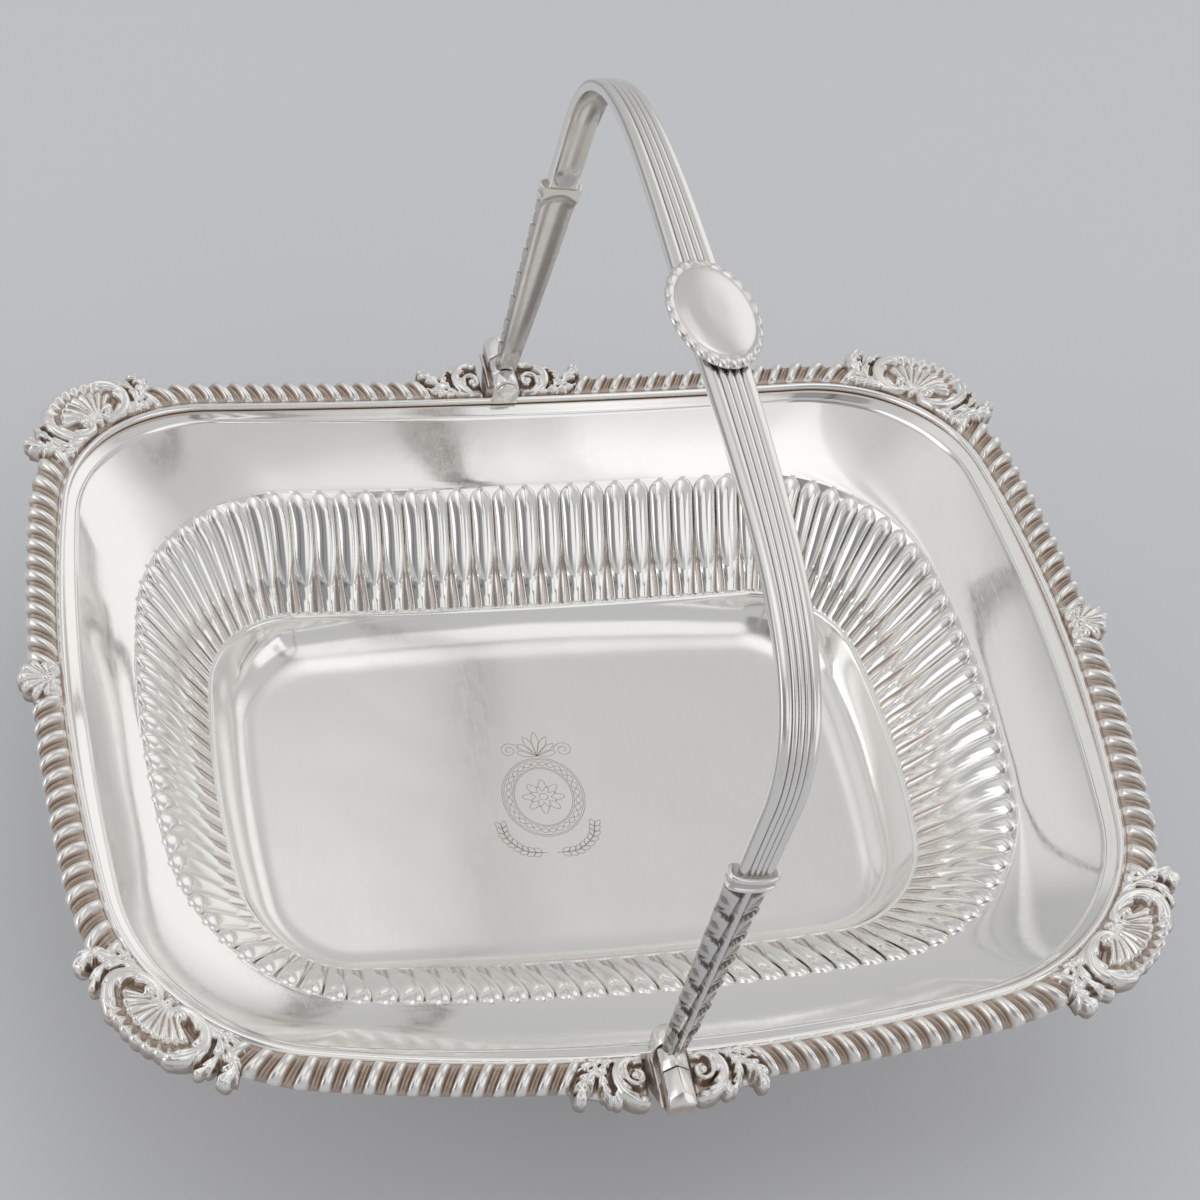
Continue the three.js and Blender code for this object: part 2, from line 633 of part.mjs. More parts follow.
// Half of the reeded arch, from the collar to the middle of the top.
function arch(side) {
  const steps = 15;
  const loops = [];
  for (let i = 0; i <= steps; i += 1) {
    const share = i / steps;
    const distance = archFrom + (HALF_LINE_LENGTH - GAP / 2 - archFrom) * share;
    const half = (ARCH_WIDTH_LOW + (ARCH_WIDTH_HIGH - ARCH_WIDTH_LOW) * share) / 2;
    const pitch = 2 * half / REEDS;
    const section = [[-half, 0]];
    for (let reed = 0; reed < REEDS; reed += 1) {
      section.push([-half + pitch * (reed + 0.5), ARCH_THICKNESS / 2]);
      if (reed < REEDS - 1) section.push([-half + pitch * (reed + 1), ARCH_THICKNESS / 2 - 0.8]);
    }
    const lip = half - 0.8;
    section.push([half, 0], [lip, -ARCH_THICKNESS / 2], [0, -0.5], [-lip, -ARCH_THICKNESS / 2]);
    loops.push(handleLoop(distance, section, side));
  }
  return skin(loops);
}

// The plain domed oval with its scalloped edge, on top of the arch.
function cartouche() {
  const base = HANDLE_HEIGHT + ARCH_THICKNESS / 2 + GAP;
  const count = 2 * CARTOUCHE_SCALLOPS;
  const oval = (share, height, scallop = 0) => evenLoop(Array.from({ length: count }, (_, i) => {
    const angle = i * 2 * Math.PI / count;
    const edge = scallop * (i % 2 === 0 ? 1 : -1);
    return new THREE.Vector3(
      (CARTOUCHE_WIDTH / 2 * share + edge) * Math.cos(angle),
      (CARTOUCHE_LENGTH / 2 * share + edge) * Math.sin(angle),
      base + height,
    );
  }));
  return skin([
    oval(0.35, CARTOUCHE_THICKNESS),
    oval(0.66, CARTOUCHE_THICKNESS * 0.55),
    oval(0.78, CARTOUCHE_THICKNESS * 0.3),
    oval(0.9, CARTOUCHE_THICKNESS * 0.8, 0.3),
    oval(1, CARTOUCHE_THICKNESS * 0.3, 0.4),
    oval(0.94, 0, 0.2),
  ]);
}

function handle() {
  const group = new THREE.Group();
  group.position.z = PIN_HEIGHT;
  group.rotation.y = THREE.MathUtils.degToRad(HANDLE_LEAN);
  for (const [place, side] of [['back', 1], ['front', -1]]) {
    const knuckle = skin([
      ringAt(knuckleFrom, PIN_HOLE, SIDES, side),
      ringAt(knuckleTo, PIN_HOLE, SIDES, side),
      ringAt(knuckleTo, BARREL_RADIUS, SIDES, side),
      ringAt(knuckleFrom, BARREL_RADIUS, SIDES, side),
    ], true);
    group.add(
      mesh(`handle_knuckle_${place}`, knuckle, handleSilver),
      mesh(`handle_leg_${place}`, leg(side), handleSilver),
      mesh(`handle_collar_${place}`, collar(side), handleSilver),
      mesh(`handle_arch_${place}`, arch(side), handleSilver),
    );
  }
  group.add(mesh('handle_cartouche', cartouche(), handleSilver));
  return group;
}

const cornerShell = (name, middle) => shell(
  name, middle, CORNER_SHELL_SPAN, CORNER_SHELL_REACH, CORNER_SHELL_SIDES, CORNER_SHELL_RIBS);
const endShell = (name, middle) => shell(
  name, middle, END_SHELL_SPAN, END_SHELL_REACH, BORDER_WIDTH, END_SHELL_RIBS);

const basket = new THREE.Group();
basket.add(bowl(), moulding(), footCollet(), footWire());

// The border in four quarters, clockwise from the middle of the back side. Each quarter has
// half a side, a corner and half an end.
const quarters = [
  { side: 'back_right', corner: 'back_right', end: 'right_back', from: 0, way: 1 },
  { side: 'front_right', corner: 'front_right', end: 'right_front', from: 2 * QUARTER, way: -1 },
  { side: 'front_left', corner: 'front_left', end: 'left_front', from: 2 * QUARTER, way: 1 },
  { side: 'back_left', corner: 'back_left', end: 'left_back', from: ROUND, way: -1 },
];
for (const { side, corner, end, from, way } of quarters) {
  const at = (distance) => from + way * distance;
  const cornerMiddle = SIDE + CORNER / 2;
  const halfCorner = CORNER_SHELL_SPAN / 2 + GAP + GADROON_SLANT / 2;
  const sideStart = HINGE_SCROLL_SPAN + GAP + GADROON_SLANT / 2;
  const endStop = QUARTER - END_SHELL_SPAN / 2 - GAP - GADROON_SLANT / 2;
  basket.add(
    hingeScroll(`hinge_scroll_${side}`, from, way),
    gadroonStrip(`gadroon_${side}`, at(sideStart), at(cornerMiddle - halfCorner), GADROONS_ON_SIDE, way),
    cornerShell(`corner_shell_${corner}`, at(cornerMiddle)),
    gadroonStrip(`gadroon_${end}`, at(cornerMiddle + halfCorner), at(endStop), GADROONS_ON_END, -way),
  );
}
basket.add(
  endShell('end_shell_right', QUARTER),
  endShell('end_shell_left', 3 * QUARTER),
  hinge('back', 1),
  hinge('front', -1),
  handle(),
);

export default basket;
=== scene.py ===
# %% [markdown]
# # A silver basket with a swing handle
# The real basket is raised from one sheet of silver, with a cast border, two hinges and a
# reeded handle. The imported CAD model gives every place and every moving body. This lesson
# dresses it: each piece is a skin over loops of points worked out with numpy, because chased
# silver is all smooth rounded relief that follows the basket's bowed outline. Lengths are in
# millimetres until the last moment, when a piece is made, and Z is up.

import math

import bpy
import numpy as np
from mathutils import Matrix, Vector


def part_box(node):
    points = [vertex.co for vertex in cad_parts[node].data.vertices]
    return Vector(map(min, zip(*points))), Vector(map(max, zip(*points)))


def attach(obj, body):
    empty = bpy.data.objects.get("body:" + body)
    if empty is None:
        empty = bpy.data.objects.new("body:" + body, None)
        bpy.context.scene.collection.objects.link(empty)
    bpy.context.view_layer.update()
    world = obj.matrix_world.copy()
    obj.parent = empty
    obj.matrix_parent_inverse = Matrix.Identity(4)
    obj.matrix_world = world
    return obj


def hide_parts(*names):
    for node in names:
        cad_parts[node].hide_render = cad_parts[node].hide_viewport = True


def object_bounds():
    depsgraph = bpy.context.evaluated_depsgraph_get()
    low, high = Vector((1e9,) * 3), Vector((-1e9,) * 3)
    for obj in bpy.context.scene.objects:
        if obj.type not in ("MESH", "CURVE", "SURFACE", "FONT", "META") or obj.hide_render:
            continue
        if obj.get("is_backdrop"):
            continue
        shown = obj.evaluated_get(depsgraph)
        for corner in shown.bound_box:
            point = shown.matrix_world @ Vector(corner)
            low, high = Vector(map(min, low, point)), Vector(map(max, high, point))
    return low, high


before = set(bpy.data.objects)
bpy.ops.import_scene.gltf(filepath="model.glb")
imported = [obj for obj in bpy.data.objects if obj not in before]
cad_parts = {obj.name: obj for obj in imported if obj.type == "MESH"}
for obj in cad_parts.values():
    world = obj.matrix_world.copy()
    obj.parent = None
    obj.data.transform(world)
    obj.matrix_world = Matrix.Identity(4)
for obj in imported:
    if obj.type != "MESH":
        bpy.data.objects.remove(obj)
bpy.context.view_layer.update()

# %% [markdown]
# ## The camera
# A silver photograph depends on where the camera stands, because every surface shows what is
# opposite. The place and the turn were fitted to the rings of the bowl, so it comes first.

# %% Place the camera
camera_data = bpy.data.cameras.new("camera")
camera_data.sensor_width = 36
camera_data.lens = 88.807
camera_data.clip_end = 20
camera = bpy.data.objects.new("camera", camera_data)
camera.location = (-0.1946892, -0.5425964, 0.7300527)
camera.rotation_euler = [math.radians(turn) for turn in (42.54941, -8.04956, -11.18043)]
bpy.context.collection.objects.link(camera)
bpy.context.scene.camera = camera
print("camera stands", round(camera.location.length, 2), "m from the middle of the foot")

# %% [markdown]
# ## Skins over loops
# A lathe or a press can't be copied one to one, but nearly every silver form is a row of
# loops: rings round a bowl, sections along a leaf, slices across a gadroon. One function skins
# the loops with quads and closes both ends, and it turns the faces outwards by the sign of the
# enclosed volume. Each point also carries a number called hollow, from 0 on a rubbed crest to
# 1 in a recess, and the finishes read it to lay brown tarnish where a cloth never reaches. On
# the handle the same number lays a grey that is painted shade over the leg and on the hollow
# backs.

# %% Skin loops of points
MM = 0.001


def tube(loops, hollow, wrap=False):
    """A closed skin over loops, an array of loop by point by x, y, z."""
    rows, columns = loops.shape[:2]
    points = loops.reshape(-1, 3)
    shade = np.broadcast_to(hollow, (rows, columns)).reshape(-1)
    index = np.arange(rows * columns).reshape(rows, columns)
    beside = np.roll(index, -1, axis=1)
    quads = np.stack([index, np.roll(index, -1, 0), np.roll(beside, -1, 0), beside], -1)
    quads = (quads if wrap else quads[:-1]).reshape(-1, 4)
    caps = [] if wrap else [index[0], index[-1][::-1]]
    centred = points - points.mean(0)
    a, b, c, d = (centred[quads[:, i]] for i in range(4))
    volume = np.sum(a * (np.cross(b, c) + np.cross(c, d)))
    for cap in caps:
        fan = centred[cap]
        volume += np.sum(fan[0] * np.cross(fan[1:-1], fan[2:]))
    if volume < 0:
        quads = quads[:, ::-1]
        caps = [cap[::-1] for cap in caps]
    return points, quads.tolist() + [cap.tolist() for cap in caps], shade


def flowing(points, count):
    """A smooth line of count points through a few points of any number of values."""
    knots = np.asarray(points, float)
    knots = np.vstack([2 * knots[0] - knots[1], knots, 2 * knots[-1] - knots[-2]])
    place = np.linspace(0, len(points) - 1 - 1e-9, count)
    first = place.astype(int)
    t = (place - first)[:, None]
    a, b, c, d = (knots[first + i] for i in range(4))
    curve = 2 * b + (c - a) * t + (2 * a - 5 * b + 4 * c - d) * t**2
    return 0.5 * (curve + (3 * b - a - 3 * c + d) * t**3)


def bezier(points, share):
    """Points on a curve that leaves its first point and reaches its last by the two between."""
    t = np.asarray(share)[..., None]
    a, b, c, d = points
    return a * (1 - t)**3 + 3 * b * (1 - t)**2 * t + 3 * c * (1 - t) * t**2 + d * t**3


def on_circle(turn):
    """Points of x and y on a circle with a radius of 1."""
    return np.column_stack([np.cos(turn), np.sin(turn)])


def to_left(way):
    """A direction of x and y, turned a quarter to its left."""
    return np.stack([-way[..., 1], way[..., 0]], -1)


def ramp(value, low, high):
    """0 below low, 1 above high, and a smooth rise between."""
    share = np.clip((value - low) / (high - low), 0, 1)
    return share * share * (3 - 2 * share)


# %% Make a piece of the basket
CREASE = math.radians(52)


def make_piece(name, forms, finish, body, nodes=None, crease=CREASE):
    """One object from several skins, in place of the CAD node of its name or of the nodes given."""
    nodes = [name] if nodes is None else nodes
    points, faces, hollow, start = [], [], [], 0
    for form_points, form_faces, form_hollow in forms:
        points.append(form_points)
        hollow.append(form_hollow)
        faces += [[corner + start for corner in face] for face in form_faces] if start else form_faces
        start += len(form_points)
    mesh = bpy.data.meshes.new(name)
    mesh.from_pydata((np.vstack(points) * MM).tolist(), [], faces)
    tarnish = mesh.attributes.new("hollow", "FLOAT", "POINT")
    tarnish.data.foreach_set("value", np.concatenate(hollow).astype(np.float32))
    mesh.shade_smooth()
    mesh.set_sharp_from_angle(angle=crease)
    mesh.materials.append(finish)
    piece = bpy.data.objects.new(name, mesh)
    bpy.context.collection.objects.link(piece)
    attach(piece, body)
    if nodes:
        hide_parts(*nodes)
    print(name, len(faces), "faces")


# %% [markdown]
# ## Silver
# Polished silver is a mirror with a past: the sheet is never quite flat after hammering and
# planishing, a hundred years of polishing leave hairlines that run every way, and tarnish stays
# in the recesses as a warm brown film. A plain metal shader would look like chrome. Here wide
# soft noise bends the reflections, stretched fine noise makes the hairlines, and the hollow
# number mixes in the brown film, which is also rougher than the bright metal. On the handle
# the film is grey: tarnish in its grooves, and painted shade over the leg and on the hollow backs.

# %% Nodes of a silver finish
FLOOR_LEVEL = 0.0265
BRIGHT_SILVER = (0.955, 0.945, 0.925, 1)
CAST_SILVER = (0.94, 0.925, 0.90, 1)
HANDLE_SILVER = (0.89, 0.875, 0.85, 1)
BROWN_FILM = (0.48, 0.375, 0.30, 1)
# The handle's grey film is tarnish in its grooves and painted shade over its leg and on its hollow backs.
GREY_FILM_AND_SHADE = (0.29, 0.265, 0.245, 1)
HAMMER_MARKS, STAINS = 26.0, 300.0


def add_node(tree, kind, values=(), **settings):
    """A shader node with its settings and its inputs, by name or by number."""
    node = tree.nodes.new(kind)
    for name, value in settings.items():
        setattr(node, name, value)
    for name, value in dict(values).items():
        if isinstance(value, bpy.types.NodeSocket):
            tree.links.new(value, node.inputs[name])
        else:
            node.inputs[name].default_value = value
    return node


def spread(tree, value, low, high, to_low, to_high):
    """A number mapped smoothly from one range to another."""
    return add_node(tree, "ShaderNodeMapRange", {
        "Value": value, "From Min": low, "From Max": high, "To Min": to_low, "To Max": to_high,
    }, interpolation_type="SMOOTHSTEP").outputs[0]


def times(tree, first, second, operation="MULTIPLY"):
    """Two numbers multiplied, or joined by another operation."""
    return add_node(tree, "ShaderNodeMath", {0: first, 1: second}, operation=operation).outputs[0]


def mixed(tree, share, first, second, **settings):
    """Two colours mixed by a share."""
    return add_node(tree, "ShaderNodeMix", {0: share, 6: first, 7: second}, data_type="RGBA",
                    **settings).outputs[2]


def noise(tree, place, scale, detail, roughness):
    """Soft random patches."""
    return add_node(tree, "ShaderNodeTexNoise", {
        "Vector": place, "Scale": scale, "Detail": detail, "Roughness": roughness}).outputs[0]


def hairlines(tree, place, turn, scale):
    """Fine noise drawn out along one direction, like the marks of a polishing cloth."""
    drawn = add_node(tree, "ShaderNodeMapping", {
        "Vector": place, "Rotation": turn, "Scale": (scale, scale * 0.03, scale),
    })
    return noise(tree, drawn.outputs[0], 1.0, 2.0, 0.6)


def silver(name, colour, smooth, rough, ripple, film_and_shade=0.85, brown=BROWN_FILM, worn_floor=0.0,
           thinnest=0.72, dulling=0.32):
    """Silver between two roughnesses, with hammered ripples and a film in its hollows: brown tarnish, and on
    the handle a grey that is partly painted shade.
    """
    material = bpy.data.materials.new(name)
    material.use_nodes = True
    tree = material.node_tree
    tree.nodes.clear()
    place = add_node(tree, "ShaderNodeTexCoord").outputs["Object"]
    hollow = add_node(tree, "ShaderNodeAttribute", attribute_name="hollow").outputs["Fac"]
    wide = noise(tree, place, HAMMER_MARKS, 1.0, 0.4)
    patchy = noise(tree, place, STAINS, 2.0, 0.5)
    along = hairlines(tree, place, (0.3, 0.2, 0.5), 2600)
    across = hairlines(tree, place, (-0.2, 0.4, 2.0), 2100)
    lines = times(tree, along, across)
    # The hollow number mixes in the film colour: brown tarnish, and on the handle grey painted shade as well.
    mask = times(tree, hollow, spread(tree, patchy, 0.25, 0.6, thinnest, 1.0))
    mask = times(tree, spread(tree, mask, 0.06, 0.9, 0.0, 1.0), film_and_shade)
    tone = mixed(tree, mask, colour, brown)
    worn = spread(tree, times(tree, lines, patchy), 0.05, 0.22, smooth, rough)
    height = add_node(tree, "ShaderNodeSeparateXYZ", {0: place}).outputs[2]
    scratched = spread(tree, height, FLOOR_LEVEL * 1.01, FLOOR_LEVEL * 1.25, worn_floor, 0.0)
    dull = times(tree, times(tree, mask, dulling), scratched, "ADD")
    surface = add_node(tree, "ShaderNodeBsdfPrincipled", {
        "Base Color": tone, "Metallic": 1.0, "Roughness": times(tree, worn, dull, "ADD")})
    hammered = add_node(tree, "ShaderNodeBump", {
        "Height": wide, "Strength": 1.0, "Distance": ripple * MM})
    fine = add_node(tree, "ShaderNodeBump", {
        "Height": lines, "Strength": 0.15, "Distance": 0.006 * MM, "Normal": hammered.outputs[0]})
    tree.links.new(fine.outputs[0], surface.inputs["Normal"])
    output = add_node(tree, "ShaderNodeOutputMaterial")
    tree.links.new(surface.outputs[0], output.inputs["Surface"])
    return material


# %% The finishes
bowl_silver = silver("raised_bowl_silver", BRIGHT_SILVER, 0.07, 0.13, ripple=0.6, film_and_shade=0.68,
                     worn_floor=0.13, thinnest=0.9)
cast_silver = silver("cast_border_silver", CAST_SILVER, 0.20, 0.25, ripple=0.12)
# The handle's finishes darken their hollows with grey: tarnish in the grooves, painted shade over the leg and
# on the hollow backs.
handle_silver = silver("handle_silver", HANDLE_SILVER, 0.15, 0.19, ripple=0.15, brown=GREY_FILM_AND_SHADE,
                       thinnest=0.95, dulling=0.06)
arch_silver = silver("arch_silver", HANDLE_SILVER, 0.15, 0.19, ripple=0.15, film_and_shade=0.6,
                     brown=GREY_FILM_AND_SHADE, thinnest=0.95, dulling=0.06)
pin_silver = silver("pin_silver", CAST_SILVER, 0.18, 0.24, ripple=0.05)
print("finishes", [finish.name for finish in (bowl_silver, cast_silver, handle_silver,
                                             arch_silver, pin_silver)])

# %% [markdown]
# ## The basket's plan
# Seen from above, every ring of the basket is a bowed rectangle: sides and ends are shallow
# parabolas and the corners are smooth curves. The rings share one way of counting, a distance
# clockwise along the border's inner edge from the middle of the back side, so a lobe, a
# gadroon and a leaf all know where they stand. The border also sweeps up towards the ends.

# %% Rings round the basket
RIM_HEIGHT = 74.0
END_RISE, END_RISE_AT = 17.0, 150.0
SIDE_DIP, SIDE_DIP_AT = 1.1, 125.0
HALF_LENGTH, HALF_WIDTH = 150.0, 126.6
BORDER_WIDTH = 8.8
BORDER_CORNER, END_BOW, SIDE_BOW = 49, 4.8, 5.4
CORNER_PULL = 0.52


def plan(half_length, half_width, corner, bow_end, bow_side):
    """A quarter of a bowed rectangle, as the numbers that its three stretches need."""
    x = half_length - corner - bow_end
    y = half_width - corner - bow_side
    pull = CORNER_PULL * corner
    start, stop = np.array([x, half_width - bow_side]), np.array([half_length - bow_end, y])
    leave = start + np.array([pull, -pull * 2 * bow_side / x])
    arrive = stop + np.array([-pull * 2 * bow_end / y, pull])
    return {
        "x": x, "y": y, "length": half_length, "width": half_width,
        "bow_end": bow_end, "bow_side": bow_side, "turn": (start, leave, arrive, stop),
    }


def border_line(reach):
    """The plan's numbers at a reach outwards from the border's inner edge."""
    share = reach / BORDER_WIDTH
    return (HALF_LENGTH + reach, HALF_WIDTH + reach, BORDER_CORNER + 10 * share, END_BOW - 0.5 * share,
            SIDE_BOW - share)


inner_edge = plan(*border_line(0))
outer_edge = plan(*border_line(BORDER_WIDTH))
corner_steps = np.diff(bezier(inner_edge["turn"], np.linspace(0, 1, 201)), axis=0)
SIDE, CORNER, END = inner_edge["x"], np.linalg.norm(corner_steps, axis=1).sum(), inner_edge["y"]
QUARTER = SIDE + CORNER + END
ROUND = 4 * QUARTER
print("half side", round(SIDE, 1), "corner", round(CORNER, 1), "half end", round(END, 1))


# %% Points on a ring
def plan_points(ring, distance):
    """Where a ring passes at distances counted along the border's inner edge."""
    along = np.mod(np.asarray(distance, float), ROUND)
    quarter = np.minimum((along / QUARTER).astype(int), 3)
    rest = along - quarter * QUARTER
    local = np.where(quarter % 2 == 0, rest, QUARTER - rest)
    side = np.clip(local / SIDE, 0, 1)
    turn = np.clip((local - SIDE) / CORNER, 0, 1)
    end = np.clip((local - SIDE - CORNER) / END, 0, 1)
    on_side = np.stack([ring["x"] * side, ring["width"] - ring["bow_side"] * side**2], -1)
    on_end = np.stack([ring["length"] - ring["bow_end"] * (1 - end)**2, ring["y"] * (1 - end)], -1)
    spot = np.where((local < SIDE)[..., None], on_side, bezier(ring["turn"], turn))
    spot = np.where((local >= SIDE + CORNER)[..., None], on_end, spot)
    right = np.where(quarter < 2, 1.0, -1.0)
    back = np.where((quarter == 0) | (quarter == 3), 1.0, -1.0)
    return spot * np.stack([right, back], -1)


def sweep(x, y):
    """How far the basket climbs towards its ends and dips towards its sides."""
    return END_RISE * (x / END_RISE_AT)**2 - SIDE_DIP * (y / SIDE_DIP_AT)**2


def border_spot(distance, reach, height):
    """A point at a distance round, a reach outwards and a height above the inner edge."""
    inner, outer = plan_points(inner_edge, distance), plan_points(outer_edge, distance)
    spot = inner + (outer - inner) * (np.asarray(reach) / BORDER_WIDTH)[..., None]
    z = RIM_HEIGHT + sweep(spot[..., 0], spot[..., 1]) + height
    return np.concatenate([spot, z[..., None]], -1)


def station_points(station, distance):
    """A ring of the bowl: half length, half width, corner, bows, drop and share of the sweep."""
    spot = plan_points(plan(*station[:5]), distance)
    z = RIM_HEIGHT - station[5] + station[6] * sweep(spot[:, 0], spot[:, 1])
    return np.column_stack([spot, z])


# %% [markdown]
# ## The bowl
# The silversmith raised the bowl from one sheet: a flat floor, a hollow well wall with a bright
# ledge, a broad band of lobes pushed in from behind, a wide flange that sweeps up, and a flat
# band under the border. A sculpted or displaced mesh would lose the crisp outlines of the
# lobes. So rings are stacked from the floor to the rim, 108 lobes round, and the columns of
# points crowd to where a lobe's edge runs, which keeps it sharp as the lobe narrows. A lobe is
# three swellings that overlap like scales, and a small dart fills the gap between two stems.

# %% Rings of the bowl from the floor to the border
LOBES_HALF_SIDE, LOBES_CORNER, LOBES_HALF_END = 10, 11, 6
LOBE_COLUMNS = 24
LOBE_SWEEP = 0.8
MOULDING_WIDTH, BAND_WIDTH = 2.6, 3.8
FLANGE_ON_ENDS, FLANGE_ON_SIDES = 16.0, 22.2
LOBES_ON_ENDS, LOBES_ON_SIDES = 22.8, 29.2
WELL_INSET = 16.5
BAND_DROP, FLANGE_DROP, LOBE_DROP, LEDGE_DROP, FLOOR_DROP = 1.2, 3.0, 12.9, 38.2, 47.5
SHEET = 1.2
flange_x = HALF_LENGTH - MOULDING_WIDTH - BAND_WIDTH
flange_y = HALF_WIDTH - MOULDING_WIDTH - BAND_WIDTH
ledge_x = flange_x - FLANGE_ON_ENDS - LOBES_ON_ENDS
ledge_y = flange_y - FLANGE_ON_SIDES - LOBES_ON_SIDES


def well_station(share):
    """The hollow wall between the ledge, at 0, and the flat floor, at 1."""
    inset = WELL_INSET * share
    depth = 1 - (1 - max(share - 0.06, 0) / 0.94)**2.8
    return np.array([ledge_x - inset, ledge_y - inset, 30 - 10 * share, 2.1 - share,
                     1.3 - share / 2, LEDGE_DROP + (FLOOR_DROP - LEDGE_DROP) * depth,
                     LOBE_SWEEP * (1 - depth)])


def flange_station(share):
    """The concave flange between the flat band, at 0, and the tops of the lobes, at 1."""
    depth = 1 - (1 - share)**1.35
    return np.array([flange_x - FLANGE_ON_ENDS * share, flange_y - FLANGE_ON_SIDES * share,
                     48 + 3 * share, 3.4 - 0.5 * share, 3.6 - 2 * share,
                     FLANGE_DROP + (LOBE_DROP - FLANGE_DROP) * depth, 1 - 0.2 * share])


def rim_station(reach, drop):
    """A ring of the sheet under the border, at a reach outwards and a drop below it."""
    return np.array([*border_line(reach), drop, 1.0])


# %% The outline and the relief of one lobe
LOBE_PITCH = 7.4
# The hood's outline and its rise end at these places down the lobe. The greatest half width is
# in pitches, and a section of 2 would be round, so this one is a little squarer.
HOOD, CROWN = 0.12, 0.32
FULL = 0.482
SECTION = 2.1
WAIST, FLARE = 0.46, 0.03
# How far each swelling of a lobe stands out, where it starts to round off and where it ends,
# both counted down the lobe, and how blunt that end is.
BODY, TAIL, STEM = (2.8, 0.30, 0.775, 3.2), (1.5, 0.42, 0.93, 2.8), (0.8, 0.5, 2.0, 2.0)
DART_RISE, VALLEY_DEPTH = 0.6, 0.2


def hood_half_width(down):
    """Half of the width of a lobe's round hood and body, in pitches."""
    return FULL * np.sqrt(1 - np.clip(1 - down / HOOD, 0, 1)**2)


def lobe_half_width(down):
    """Half of a lobe's outline in pitches: full at first, then narrower, with a flared end."""
    waist = 1 - WAIST * ramp(down, 0.45, 1.05)
    return np.maximum(hood_half_width(down) * waist + FLARE * ramp(down, 0.93, 1.0), 0.02)


def swelling(across, down, width, rise, leave, tip, blunt):
    """One of a lobe's overlapping swellings, which rounds off between two places down it."""
    share = np.clip((down - leave) / (tip - leave), 0, 1)
    close = max(math.sqrt(1 - share**blunt), 1e-3)
    x = across / (np.maximum(width, 0.02) * close)
    return rise * (1 - 0.42 * share**2) * close**0.35 * np.sqrt(np.clip(1 - np.abs(x)**SECTION, 0, 1))


def lobe_relief(across, down):
    """Height and hollow of the lobed band. Across is -0.5 to 0.5 and down is 0 to 1."""
    half = lobe_half_width(down)
    layers = [swelling(across, down, hood_half_width(down), *BODY),
              swelling(across, down, 0.94 * half, *TAIL), swelling(across, down, half, *STEM)]
    crown = math.sqrt(1 - max(1 - down / CROWN, 0)**2.5)
    height = sum(layer**8 for layer in layers)**(1 / 8) * crown
    valley = ramp(np.abs(across), half * 0.86, half * 1.0)
    low = ramp(down, 0.50, 0.80)
    dart = low * ramp(np.abs(across), half, 0.5)**2
    fade = ramp(down, 0.03, 0.12) * (1 - ramp(down, 0.975, 1.0))
    height = height * (1 - ramp(down, 0.975, 1.0)) + (DART_RISE * dart - VALLEY_DEPTH * valley) * fade
    brown = valley * (0.40 + 0.32 * low) * (1 - 0.8 * dart) + 0.16 * low
    return height, np.clip(brown * fade, 0, 1)


# %% Lay out the bowl's rows and columns
def lobe_edges():
    """Distances where the lobes meet."""
    side = np.arange(LOBES_HALF_SIDE) * SIDE / LOBES_HALF_SIDE
    corner = SIDE + np.arange(LOBES_CORNER) * CORNER / LOBES_CORNER
    end = SIDE + CORNER + np.arange(LOBES_HALF_END + 1) * END / LOBES_HALF_END
    first = np.concatenate([side, corner, end])
    half = np.concatenate([first, 2 * QUARTER - first[-2::-1]])
    return np.concatenate([half, 2 * QUARTER + half[1:]])


edges = lobe_edges()
even = np.arange(LOBE_COLUMNS) / LOBE_COLUMNS - 0.5
inside = -np.cos(np.pi * np.clip((even + 0.5) * LOBE_COLUMNS - 2, 0, LOBE_COLUMNS - 4)
                 / (LOBE_COLUMNS - 4))


def lobe_columns(down):
    """Places across a pitch that keep the lobe's outline on a line of points."""
    half = lobe_half_width(down)
    crowded = inside * half
    crowded[0] = -0.5
    crowded[1] = -(0.5 + half) / 2
    crowded[-1] = (0.5 + half) / 2
    return crowded


def bowl_distances(across):
    """The distance of every column, for one pitch's places across."""
    pitch = np.diff(edges)
    middle = (edges[:-1] + edges[1:]) / 2
    return (middle[:, None] + pitch[:, None] * across).reshape(-1)


# %% Stack the bowl's upper surface
LEDGE_BEAD = 0.22
plain = lobe_columns(0.3)
plain_distances = bowl_distances(plain)
rows, shades = [], []


def add_ring(ring, shade=0.0):
    """Put a ring and its hollow on top of the ones before."""
    rows.append(ring)
    shades.append(np.broadcast_to(shade, len(ring)))


for scale in (0.90, 0.95, 0.985):
    station = well_station(1.0)
    station[:5] *= scale
    add_ring(station_points(station, plain_distances))
for share in np.concatenate([np.linspace(1, 0.3, 13), np.linspace(0.27, 0.0, 12)]):
    ring = station_points(well_station(share), plain_distances)
    ring[:, 2] += LEDGE_BEAD * math.exp(-((share - 0.03) / 0.025)**2)
    add_ring(ring)

low_station, high_station = well_station(0.0), flange_station(1.0)
run = high_station[0] - low_station[0]
rise = low_station[5] - high_station[5]
slope = math.hypot(run, rise)
step_inward = np.array([1, 1, 0, 0, 0, 0, 0])
HOOD_TIP = 0.004
band_steps = np.concatenate([np.linspace(0.997, 0.95, 8), np.linspace(0.943, 0.84, 16),
                             np.linspace(0.833, 0.67, 26), np.linspace(0.655, 0.13, 22),
                             np.linspace(0.118, HOOD_TIP, 15)])
for down in band_steps:
    across = lobe_columns(down)
    station = high_station + (low_station - high_station) * down
    distances = bowl_distances(across)
    ring = station_points(station, distances)
    inward = station_points(station - step_inward, distances) - ring
    height, hollow = lobe_relief(np.tile(across, len(edges) - 1), down)
    pitch = np.linalg.norm(np.roll(ring, -LOBE_COLUMNS, 0) - ring, axis=1)
    height = height * np.clip(pitch / LOBE_PITCH, 0.45, 1.0)
    ring = ring + inward * (height * rise / slope)[:, None]
    ring[:, 2] += height * run / slope
    add_ring(ring, hollow)
print("lobed band", len(band_steps), "rings of", len(rows[-1]), "points")

